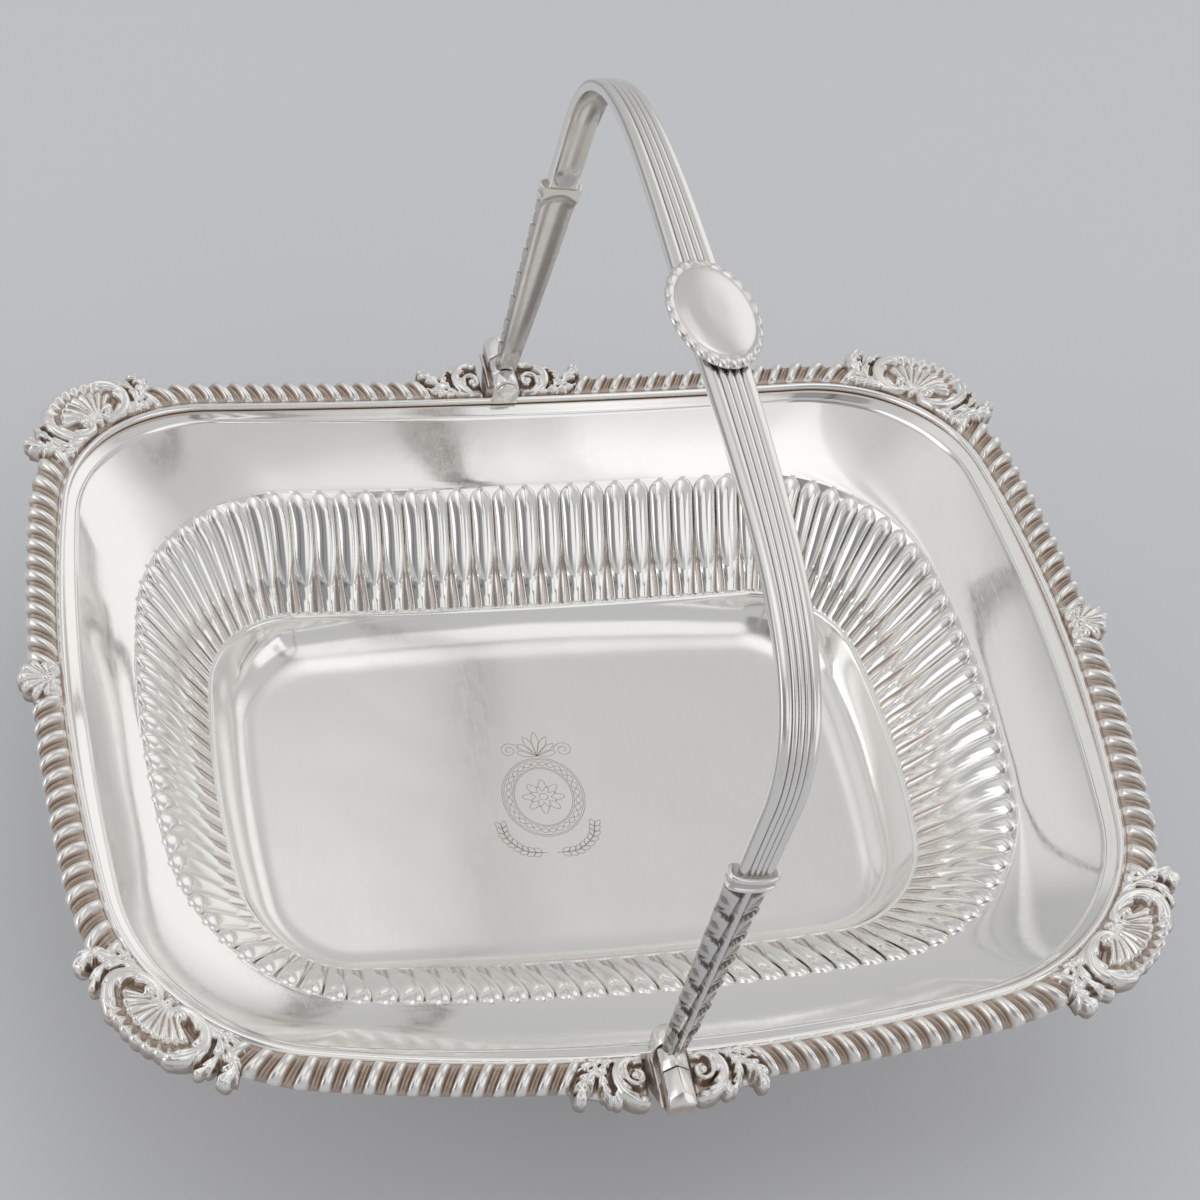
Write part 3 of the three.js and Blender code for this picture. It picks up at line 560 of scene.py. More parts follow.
# %% Close the bowl over the rim and under the sheet
# The columns gather at the tips of the hoods, because a sudden jump would show as ticks.
for share in np.linspace(1.0, 0.0, 30):
    across = plain + (lobe_columns(HOOD_TIP) - plain) * ramp(share, 0.5, 1.0)
    add_ring(station_points(flange_station(share), bowl_distances(across)))
band_x, band_y = HALF_LENGTH - MOULDING_WIDTH, HALF_WIDTH - MOULDING_WIDTH
flat_band = np.array([band_x, band_y, BORDER_CORNER, 3.2, 6, BAND_DROP, 1.0])
# Each row is a share of the band's width, a lift that makes its scored line, and a hollow.
for share, lift, shade in ((0.04, 0.28, 0.0), (0.09, 0.34, 0.0), (0.14, 0.26, 0.1), (0.2, 0.0, 0.35),
                           (0.28, -0.03, 0.1), (0.5, 0, 0), (0.75, 0, 0), (0.9, 0, 0.3), (1, 0, 0.9)):
    station = flange_station(0.0) * (1 - share) + flat_band * share
    ring = station_points(station, plain_distances)
    ring[:, 2] += lift
    add_ring(ring, shade)
RIM_EDGE = BORDER_WIDTH - 2
for reach in (0.0, RIM_EDGE * 0.5, RIM_EDGE):
    add_ring(station_points(rim_station(reach, 1.5 + 0.35 * reach), plain_distances), 0.9)

upper = np.array(rows)
upper_hollow = np.array(shades)
along_rows = np.gradient(upper, axis=0)
along_columns = np.roll(upper, -1, 1) - np.roll(upper, 1, 1)
normal = np.cross(along_columns, along_rows)
normal /= np.linalg.norm(normal, axis=2, keepdims=True) + 1e-12
normal *= np.sign(normal[0, 0, 2])
lower = (upper - normal * SHEET)[::-3]
lower_hollow = 0.35 + 0.4 * upper_hollow[::-3]
bowl_form = tube(np.vstack([upper, lower]), np.vstack([upper_hollow, lower_hollow]))
make_piece("bowl_raised_sheet", [bowl_form], bowl_silver, "basket", ["bowl"])

# %% [markdown]
# ## The engraving
# A generic ornament is engraved in the middle of the floor: two ovals with a running twist
# between them, a rosette, a palmette above and two laurel sprays below. A cut line is finer
# than any ripple of the sheet, so each is a dark thread, half sunk in the floor.

# %% Engrave the floor
ENGRAVED_AT = np.array([-4.0, -1.0])
LINE_RADIUS = 0.11
ENGRAVED_SKEW = math.radians(-3)
floor_height = RIM_HEIGHT - FLOOR_DROP


def cut(points, closed=False):
    """One engraved line through points of x and y, counted from the ornament's middle."""
    points = np.asarray(points, float)
    turned = points @ np.array([[math.cos(ENGRAVED_SKEW), math.sin(ENGRAVED_SKEW)],
                                [-math.sin(ENGRAVED_SKEW), math.cos(ENGRAVED_SKEW)]]) + ENGRAVED_AT
    if closed:
        ahead = np.roll(turned, -1, 0) - np.roll(turned, 1, 0)
    else:
        ahead = np.gradient(turned, axis=0)
    ahead /= np.linalg.norm(ahead, axis=1, keepdims=True) + 1e-9
    beside = to_left(ahead)
    turn = np.linspace(0, 2 * np.pi, 6, endpoint=False)
    rings = turned[:, None] + LINE_RADIUS * beside[:, None] * np.cos(turn)[None, :, None]
    z = np.broadcast_to(floor_height + 0.6 * LINE_RADIUS * np.sin(turn), rings.shape[:2])
    return tube(np.concatenate([rings, z[..., None]], -1), 1.0, wrap=closed)


def leaf(root, tip, belly, bulge, count):
    """A pointed leaf: out along one side of its belly and back along the other."""
    middle = root + tip * belly
    return cut(flowing([root, middle + bulge, root + tip, middle - bulge, root], count))


def spray(side):
    """A laurel spray: a bowed stem with leaves on both sides."""
    stem = flowing([(side * 1.5, -21.5), (side * 8, -20.5), (side * 13.0, -16.0), (side * 14.6, -10.0)], 40)
    lines = [cut(stem)]
    for i in range(3, 38, 4):
        way = stem[i + 1] - stem[i]
        way /= np.linalg.norm(way)
        for lean in (-1, 1):
            tip = way * 2.6 + lean * to_left(way) * 1.5
            lines.append(leaf(stem[i], tip, 0.5, to_left(tip) * 0.28, 18))
    return lines


around = np.linspace(0, 2 * np.pi, 140, endpoint=False)
circle = on_circle(around)
threads = [cut(circle * radii, closed=True) for radii in ((9, 11), (9.5, 11.5), (12.2, 14.6), (12.8, 15.2))]
for phase in (0, np.pi):
    middle_line = circle * (10.8, 13.0) + circle * (0.9 * np.sin(14 * around + phase))[:, None]
    threads.append(cut(middle_line, closed=True))
threads.append(cut(circle * (5.2 * (1 + 0.26 * np.cos(8 * around)))[:, None], closed=True))
threads.append(cut(circle * (3.2 * (1 + 0.30 * np.cos(8 * around + np.pi)))[:, None], closed=True))
threads.append(cut(circle * 1.3, closed=True))
for angle in np.radians(np.arange(-75, 76, 25)):
    way = np.array([math.sin(angle), math.cos(angle)])
    length = 9.5 * (1 - 0.25 * abs(angle))
    threads.append(leaf(np.array([0, 16.0]), way * length, 0.6, to_left(way) * 1.1, 26))
for side in (-1, 1):
    threads += spray(side)
    curl = np.linspace(0, 3.6 * np.pi, 60)
    shrink = (3.0 - 2.5 * curl / curl[-1])[:, None]
    threads.append(cut(np.array([side * 8.6, 18.4]) + shrink * on_circle(curl) * (-side, 1)))
engraved_silver = silver("engraved_line_silver", CAST_SILVER, 0.4, 0.5, ripple=0.02, film_and_shade=0.75)
make_piece("floor_engraving", threads, engraved_silver, "basket", nodes=())

# %% [markdown]
# ## The moulding
# A plain half-round wire hides the joint between the bowl's flat band and the cast border. It
# could be a curve with a bevel, but a curve's bevel would twist with the sweep. One profile is
# carried round on the same rings instead.

# %% Draw the wire round the border
smooth_round = np.arange(0, ROUND, 1.4)
profile = flowing([(-2.3, -0.9), (-2.28, -0.1), (-1.9, 0.5), (-1.3, 0.72), (-0.7, 0.5), (-0.25, 0.0),
                   (0.3, -0.3), (0.42, -1.2)], 17)
loops = np.array([border_spot(smooth_round, np.full_like(smooth_round, reach), height)
                  for reach, height in profile])
edge_shade = np.interp(np.arange(17), [0, 3, 10, 13, 16], [1, 0, 0, 0.8, 1])[:, None]
make_piece("half_round_moulding", [tube(loops, edge_shade, wrap=True)], bowl_silver, "basket",
           ["rim_moulding"])

# %% [markdown]
# ## Gadroons
# The border is cast in strips. A gadroon is a slanted rounded rod, fatter at its outer end and
# curled down over the edge, and the groove beside it holds two fine reeds that are never
# polished. Modelling one and arraying it would break where the border turns, so each strip is
# sliced along the border and every slice is a blend between a crest profile and a groove
# profile.

# %% Slice the gadroon strips
GADROONS_ON_SIDE, GADROONS_ON_END = 14, 12
GADROON_SLANT = 5.2
GADROON_SLICES, OVERRUN = 16, 14
PROFILE_POINTS = 26
ROD_HALF_WIDTH, ROD_FATTENING = 0.23, 0.09
REED_HEIGHT = 0.16
GAP = 0.3
crest_line = flowing([(0.3, -1.25), (0.32, 0.2), (1.4, 1.75), (4.3, 2.45), (7.0, 1.65), (8.72, -0.4),
                      (8.6, -2.4), (7.6, -3.85)], PROFILE_POINTS)
groove_line = flowing([(0.3, -1.25), (0.34, -0.2), (1.6, 0.3), (4.2, 0.45), (6.6, -0.2),
                       (7.75, -1.5), (7.9, -2.8), (7.6, -3.85)], PROFILE_POINTS)
up_the_rod = np.linspace(0, 1, PROFILE_POINTS)


def gadroon_strip(name, start, stop, count, lean):
    """A strip of gadroons whose outer ends lean towards the corner."""
    phase = np.arange(-OVERRUN, count * GADROON_SLICES + OVERRUN + 1) / GADROON_SLICES
    within = np.mod(phase, 1)[:, None]
    half = ROD_HALF_WIDTH + ROD_FATTENING * up_the_rod
    x = (within - 0.5) / half
    rod = np.sqrt(np.clip(1 - x**2, 0, 1))
    reeds = np.cos((within - 0.5) * 2 * np.pi * 5) * np.sin(np.pi * up_the_rod)
    reeds = REED_HEIGHT * (1 - rod) * reeds
    blend = (rod + reeds)[..., None]
    spots = groove_line + (crest_line - groove_line) * blend
    distance = start + (stop - start) * phase[:, None] / count
    distance = distance + lean * GADROON_SLANT * (spots[..., 0] / BORDER_WIDTH - 0.5)
    loops = border_spot(distance, spots[..., 0], spots[..., 1])
    hollow = np.clip(0.9 * (1 - rod)**0.8 + 0.4 * ramp(up_the_rod, 0.8, 1.0), 0, 1)
    make_piece(name, [tube(loops, hollow)], cast_silver, "basket")


SHELL_HALF, SCROLL_SPAN, END_SHELL_HALF = 19.5, 27.0, 8.0
quarters = [("back_right", "right_back", 0, 1), ("front_right", "right_front", 2 * QUARTER, -1),
            ("front_left", "left_front", 2 * QUARTER, 1), ("back_left", "left_back", ROUND, -1)]
corner_middle = SIDE + CORNER / 2
for side_name, end_name, start, way in quarters:
    margin = GAP + GADROON_SLANT / 2
    gadroon_strip(f"gadroon_{side_name}", start + way * (SCROLL_SPAN + margin),
                  start + way * (corner_middle - SHELL_HALF - margin), GADROONS_ON_SIDE, way)
    gadroon_strip(f"gadroon_{end_name}", start + way * (corner_middle + SHELL_HALF + margin),
                  start + way * (QUARTER - END_SHELL_HALF - margin), GADROONS_ON_END, -way)

# %% [markdown]
# ## Cast relief
# The ornaments that part the gadroons are cast too: acanthus leaves with lobed edges, C-shaped
# scrolls that end in a round eye, and fan shells. Separate skins would look like worms laid on
# the border, so each ornament is one sheet of relief, like the casting itself. Every stroke
# gives a height over the ground, and the highest one wins. Where the sheet lies below its own
# blurred copy a cloth can't reach, and that is where the brown film goes.

# %% Strokes and knobs as heights
NOTHING, LOWEST = -9.0, -2.6
STROKE_STEPS = 48


def stroke(u, v, spine, half_width, rise, lobes=0, side=0, root=0.6, point=0.5, crease=0.0):
    """Height of a leaf or a scroll's arm along a spine of distance, reach and height."""
    line = flowing(spine, STROKE_STEPS)
    ahead = np.gradient(line[:, :2], axis=0)
    step = np.linalg.norm(ahead, axis=1)
    ahead /= step[:, None]
    near = ((u[..., None] - line[:, 0])**2 + (v[..., None] - line[:, 1])**2).argmin(-1)
    out_u, out_v = u - line[near, 0], v - line[near, 1]
    along = out_u * ahead[near, 0] + out_v * ahead[near, 1]
    across = out_v * ahead[near, 0] - out_u * ahead[near, 1]
    place = near + along / step[near]
    past = np.maximum(-place, place - STROKE_STEPS + 1).clip(0) * step[near]
    t = np.clip(place / (STROKE_STEPS - 1), 0, 1)
    width = half_width * (root + (1 - root) * ramp(t, 0, 0.4)) * (1 - (1 - point) * ramp(t, 0.5, 1))
    off = np.abs(across) / width
    gap = 1 - np.abs(np.sin(np.pi * (t * lobes + 0.7 * (1 - off))))**0.9 if lobes else 0 * off
    gap = gap * (across * side >= 0)
    x = np.hypot(off / (1 - 0.55 * gap), past / width)
    height = np.interp(t, np.linspace(0, 1, STROKE_STEPS), line[:, 2])
    height += rise * (np.clip(1 - x**2, 0, 1)**0.42 - 1 - crease * np.exp(-(off / 0.24)**2))
    return np.where(x < 1, height - 0.65 * rise * gap * off, NOTHING)


def knob(u, v, centre, radii, level, ring=0.0):
    """Height of a round or oval knob: the eye of a scroll or a curled leaf tip."""
    x = np.hypot((u - centre[0]) / radii[0], (v - centre[1]) / radii[1])
    height = level + 0.9 * min(radii) * (np.sqrt(np.clip(1 - x**2, 0, 1)) - 1)
    return np.where(x < 1, height - ring * np.exp(-((x - 0.6) / 0.18)**2), NOTHING)


def ground(u, v, outline, level):
    """The plain ground under an ornament, as far out as its outline reaches."""
    far = np.interp(u, [spot[0] for spot in outline], [spot[1] for spot in outline])
    return np.where(v < far, level - 0.006 * v**2, NOTHING)


# %% Cast a sheet of relief
def blurred(field, reach):
    """A copy of a field, averaged over a square of cells."""
    for axis in (0, 1):
        pad = [(0, 0), (0, 0)]
        pad[axis] = (reach + 1, reach)
        total = np.moveaxis(np.pad(field, pad, mode="edge").cumsum(axis), axis, 0)
        field = np.moveaxis((total[2 * reach + 1:] - total[:-2 * reach - 1]) / (2 * reach + 1), 0, axis)
    return field


def cast_relief(heights, starts, stops, bottom, columns, rows=96):
    """Loops and hollow of an ornament between two slanted ends, cut off where nothing is left."""
    share = np.linspace(0, 1, columns)[:, None]

    def ends(v):
        """Where the ornament starts and stops at a reach outwards."""
        slant = np.minimum(v / BORDER_WIDTH, 1)
        return [side[0] + (side[1] - side[0]) * slant for side in (starts, stops)]

    def spots(v):
        """Places between those ends."""
        first, last = ends(v)
        return first + (last - first) * share

    trial = np.linspace(0.1, 19, 210)[None, :] + 0 * share
    present = heights(spots(trial), trial) > NOTHING + 1
    outline = trial[0][present.shape[1] - 1 - present[:, ::-1].argmax(1)]
    outline = np.convolve(np.pad(outline, 1, mode="edge"), [0.25, 0.5, 0.25], "valid")[:, None]
    v = 0.05 + (outline - 0.1) * np.linspace(0, 1, rows)[None, :]
    u = spots(v)
    first, last = ends(v)
    edge = np.minimum(np.minimum(u - first, last - u), outline - v)
    high = np.maximum(heights(u, v), LOWEST) - 1.3 * (1 - np.sqrt(np.clip(edge, 0, 1)))
    high = blurred(blurred(high, 1), 1)
    wide = blurred(blurred(high, 6), 6)
    fine = blurred(high, 2)
    hollow = ramp(wide - high, 0.15, 0.8) + 0.9 * ramp(fine - high, 0.04, 0.25)
    hollow = hollow * ramp(edge, -0.2, 0.4) + ramp(-high, -1.3, -0.4) * ramp(edge, 0.5, 2.0)
    u = np.concatenate([u[:, :1], u, u[:, -1:], u[:, -1:]], 1)
    v = np.concatenate([v[:, :1], v, v[:, -1:], v[:, -1:] - 0.5], 1)
    high = np.concatenate([0 * share - 0.9, high, high[:, -1:] - 0.6, 0 * share + bottom], 1)
    hollow = np.concatenate([0 * share + 1, hollow, 0 * share + 0.5, 0 * share + 1], 1)
    return np.stack([u, v, high], -1), np.clip(hollow, 0, 1)


def seat_ornament(name, form, middle, way=1):
    """Lay an ornament's form on the border, at a distance and in a direction."""
    loops, hollow = form
    skin = tube(border_spot(middle + way * loops[..., 0], loops[..., 1], loops[..., 2]), hollow)
    make_piece(name, [skin], cast_silver, "basket", crease=math.pi)


# %% [markdown]
# ## The corner shells
# At each corner a fan of fine ribs lies in a brown dish with a scalloped lip, between two
# C-scrolls with round eyes. One leaf follows the moulding to the gadroons and a larger one ends
# in a fat tip curled over the edge. One half is laid out, and the other mirrors it.

# %% Lay out the fan and its dish
FOCUS = 1.5
DISH, DISH_ANGLE, SCALLOPS_ROUND = 15.9, math.radians(66), 13
FAN, FAN_ANGLE, FAN_RIBS = 11.8, math.radians(56), 9


def ribs(turn, angle, count):
    """1 on the ribs of a fan and 0 in the grooves between them."""
    return np.abs(np.cos(np.pi * count * turn / (2 * angle)))


def fan_in_dish(u, v):
    """Height of the ribbed fan and of the scalloped dish that it lies in."""
    reach, turn = np.hypot(u, v - FOCUS), np.abs(np.arctan2(u, v - FOCUS))
    scallop = ribs(turn, DISH_ANGLE, SCALLOPS_ROUND)**0.8
    dish = np.interp(reach, [0, 11.0, 13.0, 14.9, 15.4, 16.0], [0.4, 0.5, 1.0, 2.3, 2.4, 1.9])
    dish = dish - 0.9 * (1 - scallop) * ramp(reach, 10.0, 13.5)
    dish = np.where((reach < DISH - 0.8 * (1 - scallop)) & (turn < DISH_ANGLE), dish, NOTHING)
    rib = ribs(turn, FAN_ANGLE, FAN_RIBS)**0.7
    fan = np.interp(reach, [0.3, 3, 6, 8.5, 10.8, 11.8], [1.8, 2.6, 3.1, 3.2, 2.9, 2.3])
    fan = fan - 1.6 * (1 - rib) * ramp(reach, 0.5, 5.0)
    fan = np.where((reach < FAN - 0.5 * (1 - rib)) & (turn < FAN_ANGLE), fan, NOTHING)
    return np.maximum(dish, fan)


# %% Lay out and seat the corner shells
corner_outline = [(0, 15.0), (7, 14.6), (13, 12.8), (17, 10.6), (19.5, 8.6), (22.5, 6.0)]
corner_strokes = [
    ([(3.0, 5.6, 2.5), (2.5, 3.6, 2.9), (3.9, 1.9, 3.0), (7.0, 1.6, 3.1), (10.4, 3.1, 3.4), (12.1, 6.5, 3.6),
      (11.5, 10.2, 3.6), (9.4, 13.2, 3.0), (7.2, 15.0, 1.9)], 2.2, 1.8,
     dict(lobes=5, side=1, root=0.4, point=0.85, crease=0.25)),
    ([(6.5, 0.4, 1.6), (11.6, 0.8, 2.2), (15.0, 3.2, 2.7), (16.1, 7.2, 2.9), (15.3, 11.0, 2.3),
      (13.4, 14.0, 1.2)], 1.5, 1.5, dict(lobes=4, root=0.4, point=0.9, crease=0.2)),
    ([(14.0, 1.0, 1.8), (17.8, 1.8, 2.5), (21.8, 3.3, 1.8)], 1.8, 1.4, dict(lobes=3, crease=0.15)),
    ([(16.6, 3.6, 2.0), (18.9, 6.4, 3.0), (19.9, 9.8, 3.3), (18.9, 12.9, 2.2)], 2.3, 1.7,
     dict(lobes=3, crease=0.28, point=1.0)),
]


def corner_heights(u, v):
    """Height over a corner ornament: u is counted from its middle and v outwards."""
    u = np.abs(u)
    forms = [ground(u, v, corner_outline, 0.0), fan_in_dish(u, v), knob(u, v, (0, 1.8), (1.1, 1.3), 2.9),
             knob(u, v, (5.0, 3.9), (1.6, 1.6), 4.4)]
    forms += [stroke(u, v, spine, half, rise, **more) for spine, half, rise, more in corner_strokes]
    return np.maximum.reduce(forms)


corner_form = cast_relief(corner_heights, (-22.4, -21.5), (22.4, 21.5), -3.6, 290)
for side_name, _, start, way in quarters:
    seat_ornament(f"corner_shell_{side_name}", corner_form, start + way * corner_middle, way)

# %% [markdown]
# ## The end shells
# The middle of each short end has a small palmette of seven rounded petals over two volutes.

# %% Lay out and seat the end shells
end_outline = [(0, 9.4), (5, 8.4), (8, 7.0), (11, 6.6)]
PETAL_ANGLE = math.radians(25)
PETAL_LENGTHS = (9.4, 9.0, 8.0, 6.2)


def petals(u, v):
    """Height of seven rounded petals that spread from one point; u is never negative."""
    reach, turn = np.hypot(u, v - 3.0), np.arctan2(u, v - 3.0)
    nearest = np.clip(np.round(turn / PETAL_ANGLE), 0, 3)
    length = np.interp(nearest, range(4), PETAL_LENGTHS)
    off = 2 * (turn / PETAL_ANGLE - nearest)
    past = np.clip(reach / length - 0.78, 0, None) / 0.22
    round_off = np.clip(1 - off**2 - past**2, 0, 1)
    height = np.interp(reach / length, [0, 0.3, 0.7, 1.0], [2.0, 2.9, 3.3, 2.9])
    height += 1.6 * (np.sqrt(round_off) - 1) * ramp(reach, 0.3, 2.5)
    return np.where(round_off > 0, height, NOTHING)


def end_heights(u, v):
    """Height over an end shell."""
    u = np.abs(u)
    return np.maximum.reduce([
        ground(u, v, end_outline, 0.7), petals(u, v), knob(u, v, (0, 3.8), (1.0, 1.6), 3.3),
        knob(u, v, (3.7, 2.2), (2.3, 2.1), 3.4, ring=1.0), knob(u, v, (0, 1.0), (0.9, 0.8), 2.0),
        stroke(u, v, [(0, 2.3, 2.6), (1.2, 2.2, 2.6), (2.2, 2.2, 2.3)], 0.8, 1.0),
    ])


end_form = cast_relief(end_heights, (-8.4, -10.2), (8.4, 10.2), -3.4, 190, rows=104)
for name, middle in (("end_shell_right", QUARTER), ("end_shell_left", 3 * QUARTER)):
    seat_ornament(name, end_form, middle)

# %% [markdown]
# ## The leaves beside the hinges
# On each side of a hinge a broad leaf curls back towards the pin over a deep brown recess with
# a small volute, and more leaves follow it to the gadroons, with one fat tip curled over the
# edge. The inner end stays low, because the handle lies down over it.

# %% Lay out and seat the hinge scrolls
scroll_outline = [(6, 12.6), (10, 12.8), (16, 11.4), (22, 10.0), (27, 8.6), (31, 7.0)]
scroll_strokes = [
    ([(12.0, 4.6, 2.3), (11.6, 7.6, 2.5), (9.4, 8.8, 2.3), (7.5, 7.5, 1.9), (7.4, 5.2, 1.7), (9.0, 4.2, 1.5)],
     0.9, 1.2, dict(root=0.9, point=0.7)),
    ([(6.8, 1.4, 0.8), (10.4, 1.5, 2.0), (13.2, 3.6, 2.8), (14.2, 7.2, 3.1), (13.0, 10.8, 3.0),
      (10.4, 13.0, 2.4), (8.2, 13.4, 1.4)], 2.1, 1.6, dict(lobes=5, side=1, point=0.9, crease=0.12)),
    ([(12.6, 0.7, 1.5), (16.6, 1.9, 2.4), (18.6, 5.2, 2.8), (18.6, 9.0, 2.5), (17.2, 12.2, 1.2)], 1.6, 1.5,
     dict(lobes=5, root=0.5, point=0.9, crease=0.12)),
    ([(16.6, 0.9, 1.6), (20.6, 1.8, 2.4), (24.6, 3.4, 1.6)], 1.8, 1.4, dict(lobes=3, crease=0.15)),
    ([(19.6, 3.6, 2.0), (22.0, 6.2, 3.0), (24.4, 8.6, 3.3), (25.2, 11.2, 2.2)], 2.4, 1.7,
     dict(lobes=3, crease=0.28, point=1.0)),
    ([(15.4, 11.0, 2.0), (15.2, 13.0, 1.2)], 1.5, 1.3, dict(point=0.9)),
]


def scroll_heights(u, v):
    """Height over one hinge scroll."""
    forms = [ground(u, v, scroll_outline, -0.6), knob(u, v, (9.2, 6.0), (1.5, 1.5), 2.1),
             knob(u, v, (8.3, 13.6), (1.9, 1.7), 1.9)]
    forms += [stroke(u, v, spine, half, rise, **more) for spine, half, rise, more in scroll_strokes]
    return np.maximum.reduce(forms)


scroll_form = cast_relief(scroll_heights, (5.95, 5.95), (25.2, 29.2), -4.2, 170)
for side_name, _, start, way in quarters:
    seat_ornament(f"hinge_scroll_{side_name}", scroll_form, start, way)

# %% [markdown]
# ## The foot
# The photograph hides the foot, so it is a plain spreading collet on a rounded wire, as usual
# on such baskets. Both are profiles carried round the plan, like the moulding.

# %% Spread the foot
WIRE_HEIGHT, FOOT_SPREAD, FOOT_INSET, FOOT_WALL, FOOT_CORNER = 4.4, 10.0, 3.0, 1.5, 18.0
foot_top = RIM_HEIGHT - FLOOR_DROP - SHEET - GAP
foot_x = ledge_x - WELL_INSET - FOOT_INSET
foot_y = ledge_y - WELL_INSET - FOOT_INSET


def foot_loop(out, height):
    """A ring of the foot, as far out as its collet or its wire spreads."""
    spot = plan_points(plan(foot_x + out, foot_y + out, FOOT_CORNER + out, 1, 0.8), smooth_round)
    return np.column_stack([spot, np.full(len(spot), height)])


share = np.linspace(0, 1, 16)
wall_out = FOOT_SPREAD * (1 - np.cos(share * np.pi / 2))
wall_high = foot_top + (WIRE_HEIGHT + GAP - foot_top) * np.sin(share * np.pi / 2)**0.8
loops = [foot_loop(out, high) for out, high in zip(wall_out, wall_high)]
loops += [foot_loop(out - FOOT_WALL, high) for out, high in zip(wall_out[::-1], wall_high[::-1])]
shade = np.interp(np.arange(32), [0, 2, 13, 16, 31], [0.6, 0.05, 0.1, 0.8, 0.8])[:, None]
make_piece("spreading_foot", [tube(np.array(loops), shade, wrap=True)], bowl_silver, "basket",
           ["foot_collet"])
wire_middle = FOOT_SPREAD - FOOT_WALL / 2
wire = flowing([(-2.3, 0), (-2.35, 1.6), (-1.6, 3.7), (-0.2, 4.4), (1.4, 3.9), (2.3, 2.0), (1.7, 0)], 15)
loops = np.array([foot_loop(wire_middle + out, high) for out, high in wire])
shade = np.interp(np.arange(15), [0, 2, 12, 14], [0.8, 0.2, 0.1, 0.6])[:, None]
make_piece("foot_wire_round", [tube(loops, shade, wrap=True)], cast_silver, "basket", ["foot_wire"])

# %% [markdown]
# ## The hinges
# A bracket stands over the rim. Its inner end is a U-shaped lug that shows the pin's round head,
# and its outer end is a long knuckle, filed to two flats with a ridge on top and hipped like a
# roof. The handle's own knuckle turns between them. Each is a row of slices along the pin.

# %% Measure the hinge from the frame
pin_low, pin_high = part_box("hinge_pin_back")
PIN_HEIGHT = (pin_low.z + pin_high.z) / 2 / MM
lug_low, lug_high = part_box("inner_lug_back")
turn_low, turn_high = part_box("handle_knuckle_back")
outer_low, outer_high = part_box("outer_knuckle_back")
plate_low, plate_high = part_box("hinge_plate_back")
LUG = (lug_low.y / MM, lug_high.y / MM)
TURN = (turn_low.y / MM, turn_high.y / MM)
OUTER = (outer_low.y / MM, outer_high.y / MM)
PLATE = (plate_low.y / MM, plate_high.y / MM)
PLATE_TOP = plate_high.z / MM - PIN_HEIGHT
PLATE_LOW = plate_low.z / MM - PIN_HEIGHT
print("pin axis", round(PIN_HEIGHT, 2), "plate top", round(PLATE_TOP, 2), "below it")


# %% Slices of the hinge
def slices(outline, places, side, sizes):
    """Loops in planes square to the pin: an outline of x and z above the axis, sized at each y."""
    loops = []
    for y, size in zip(places, sizes):
        size = np.broadcast_to(size, 2)
        loops.append([(x * size[0], side * y, PIN_HEIGHT + (z if z < 0 else z * size[1]))
                      for x, z in outline])
    return np.array(loops)


KNUCKLE_RADIUS = 3.7
SEAM = 0.02
BASE = PLATE_TOP + SEAM
# The outer knuckle's outline: x across the pin and z above its axis, over the ridge.
roof = np.array([(-3.72, BASE), (-3.72, -1.0), (-3.66, 0.9), (-3.45, 1.35), (-0.35, 3.58), (0, 3.7),
                 (0.35, 3.58), (3.45, 1.35), (3.66, 0.9), (3.72, -1.0), (3.72, BASE)])
below = np.linspace(np.pi + 0.25, 2 * np.pi - 0.25, 15)
turning = np.vstack([roof[2:9], on_circle(below[::-1]) * KNUCKLE_RADIUS])
arch_top = np.linspace(np.pi, 0, 17)
LUG_LOW = PLATE_LOW + 4.0
horseshoe = np.vstack([[(-4.0, LUG_LOW), (-4.0, -0.4)], on_circle(arch_top) * (4.0, KNUCKLE_RADIUS),
                       [(4.0, -0.4), (4.0, LUG_LOW)]])


def hinge(place, side):
    """The fixed pieces of one hinge, and the handle's knuckle that turns between them."""
    lug = slices(horseshoe, [LUG[0], LUG[0] + 0.25, LUG[1] - 0.2, LUG[1]], side,
                 [0.93, 1.0, 1.0, 0.97])
    make_piece(f"inner_lug_{place}", [tube(lug, np.array([0.25, 0, 0, 0.9])[:, None])], cast_silver,
               "basket")
    span = OUTER[1] - OUTER[0]
    outer_places = [OUTER[0], OUTER[0] + 0.2, OUTER[1] - 0.2 * span, OUTER[1] - 0.17 * span,
                    OUTER[1] - 0.2, OUTER[1]]
    sizes = [(0.95, 0.97), (1, 1), (1, 1), (0.99, 0.96), (0.93, 0.3), (0.86, 0.2)]
    outer = slices(roof, outer_places, side, sizes)
    shade = np.array([0.9, 0, 0, 0, 0, 0.2])[:, None] * np.ones(len(roof))
    shade[:, [0, 1, -2, -1]] = np.maximum(shade[:, [0, 1, -2, -1]], 0.7)
    make_piece(f"outer_knuckle_{place}", [tube(outer, shade)], cast_silver, "basket")
    places = [TURN[0], TURN[0] + 0.2, TURN[1] - 0.2, TURN[1]]
    knuckle = slices(turning, places, side, [0.95, 1, 1, 0.95])
    make_piece(f"handle_knuckle_{place}", [tube(knuckle, np.array([0.9, 0, 0, 0.9])[:, None])],
               handle_silver, "handle")
    make_plate(place, side)
    make_pin(place, side)


# %% The bracket with its cheeks, and the pin
# A cheek's section: x across it, and a share of its height.
CHEEK = [(-0.45, 0), (-0.45, 0.7), (-0.2, 1.0), (0.2, 1.0), (0.45, 0.7), (0.45, 0)]


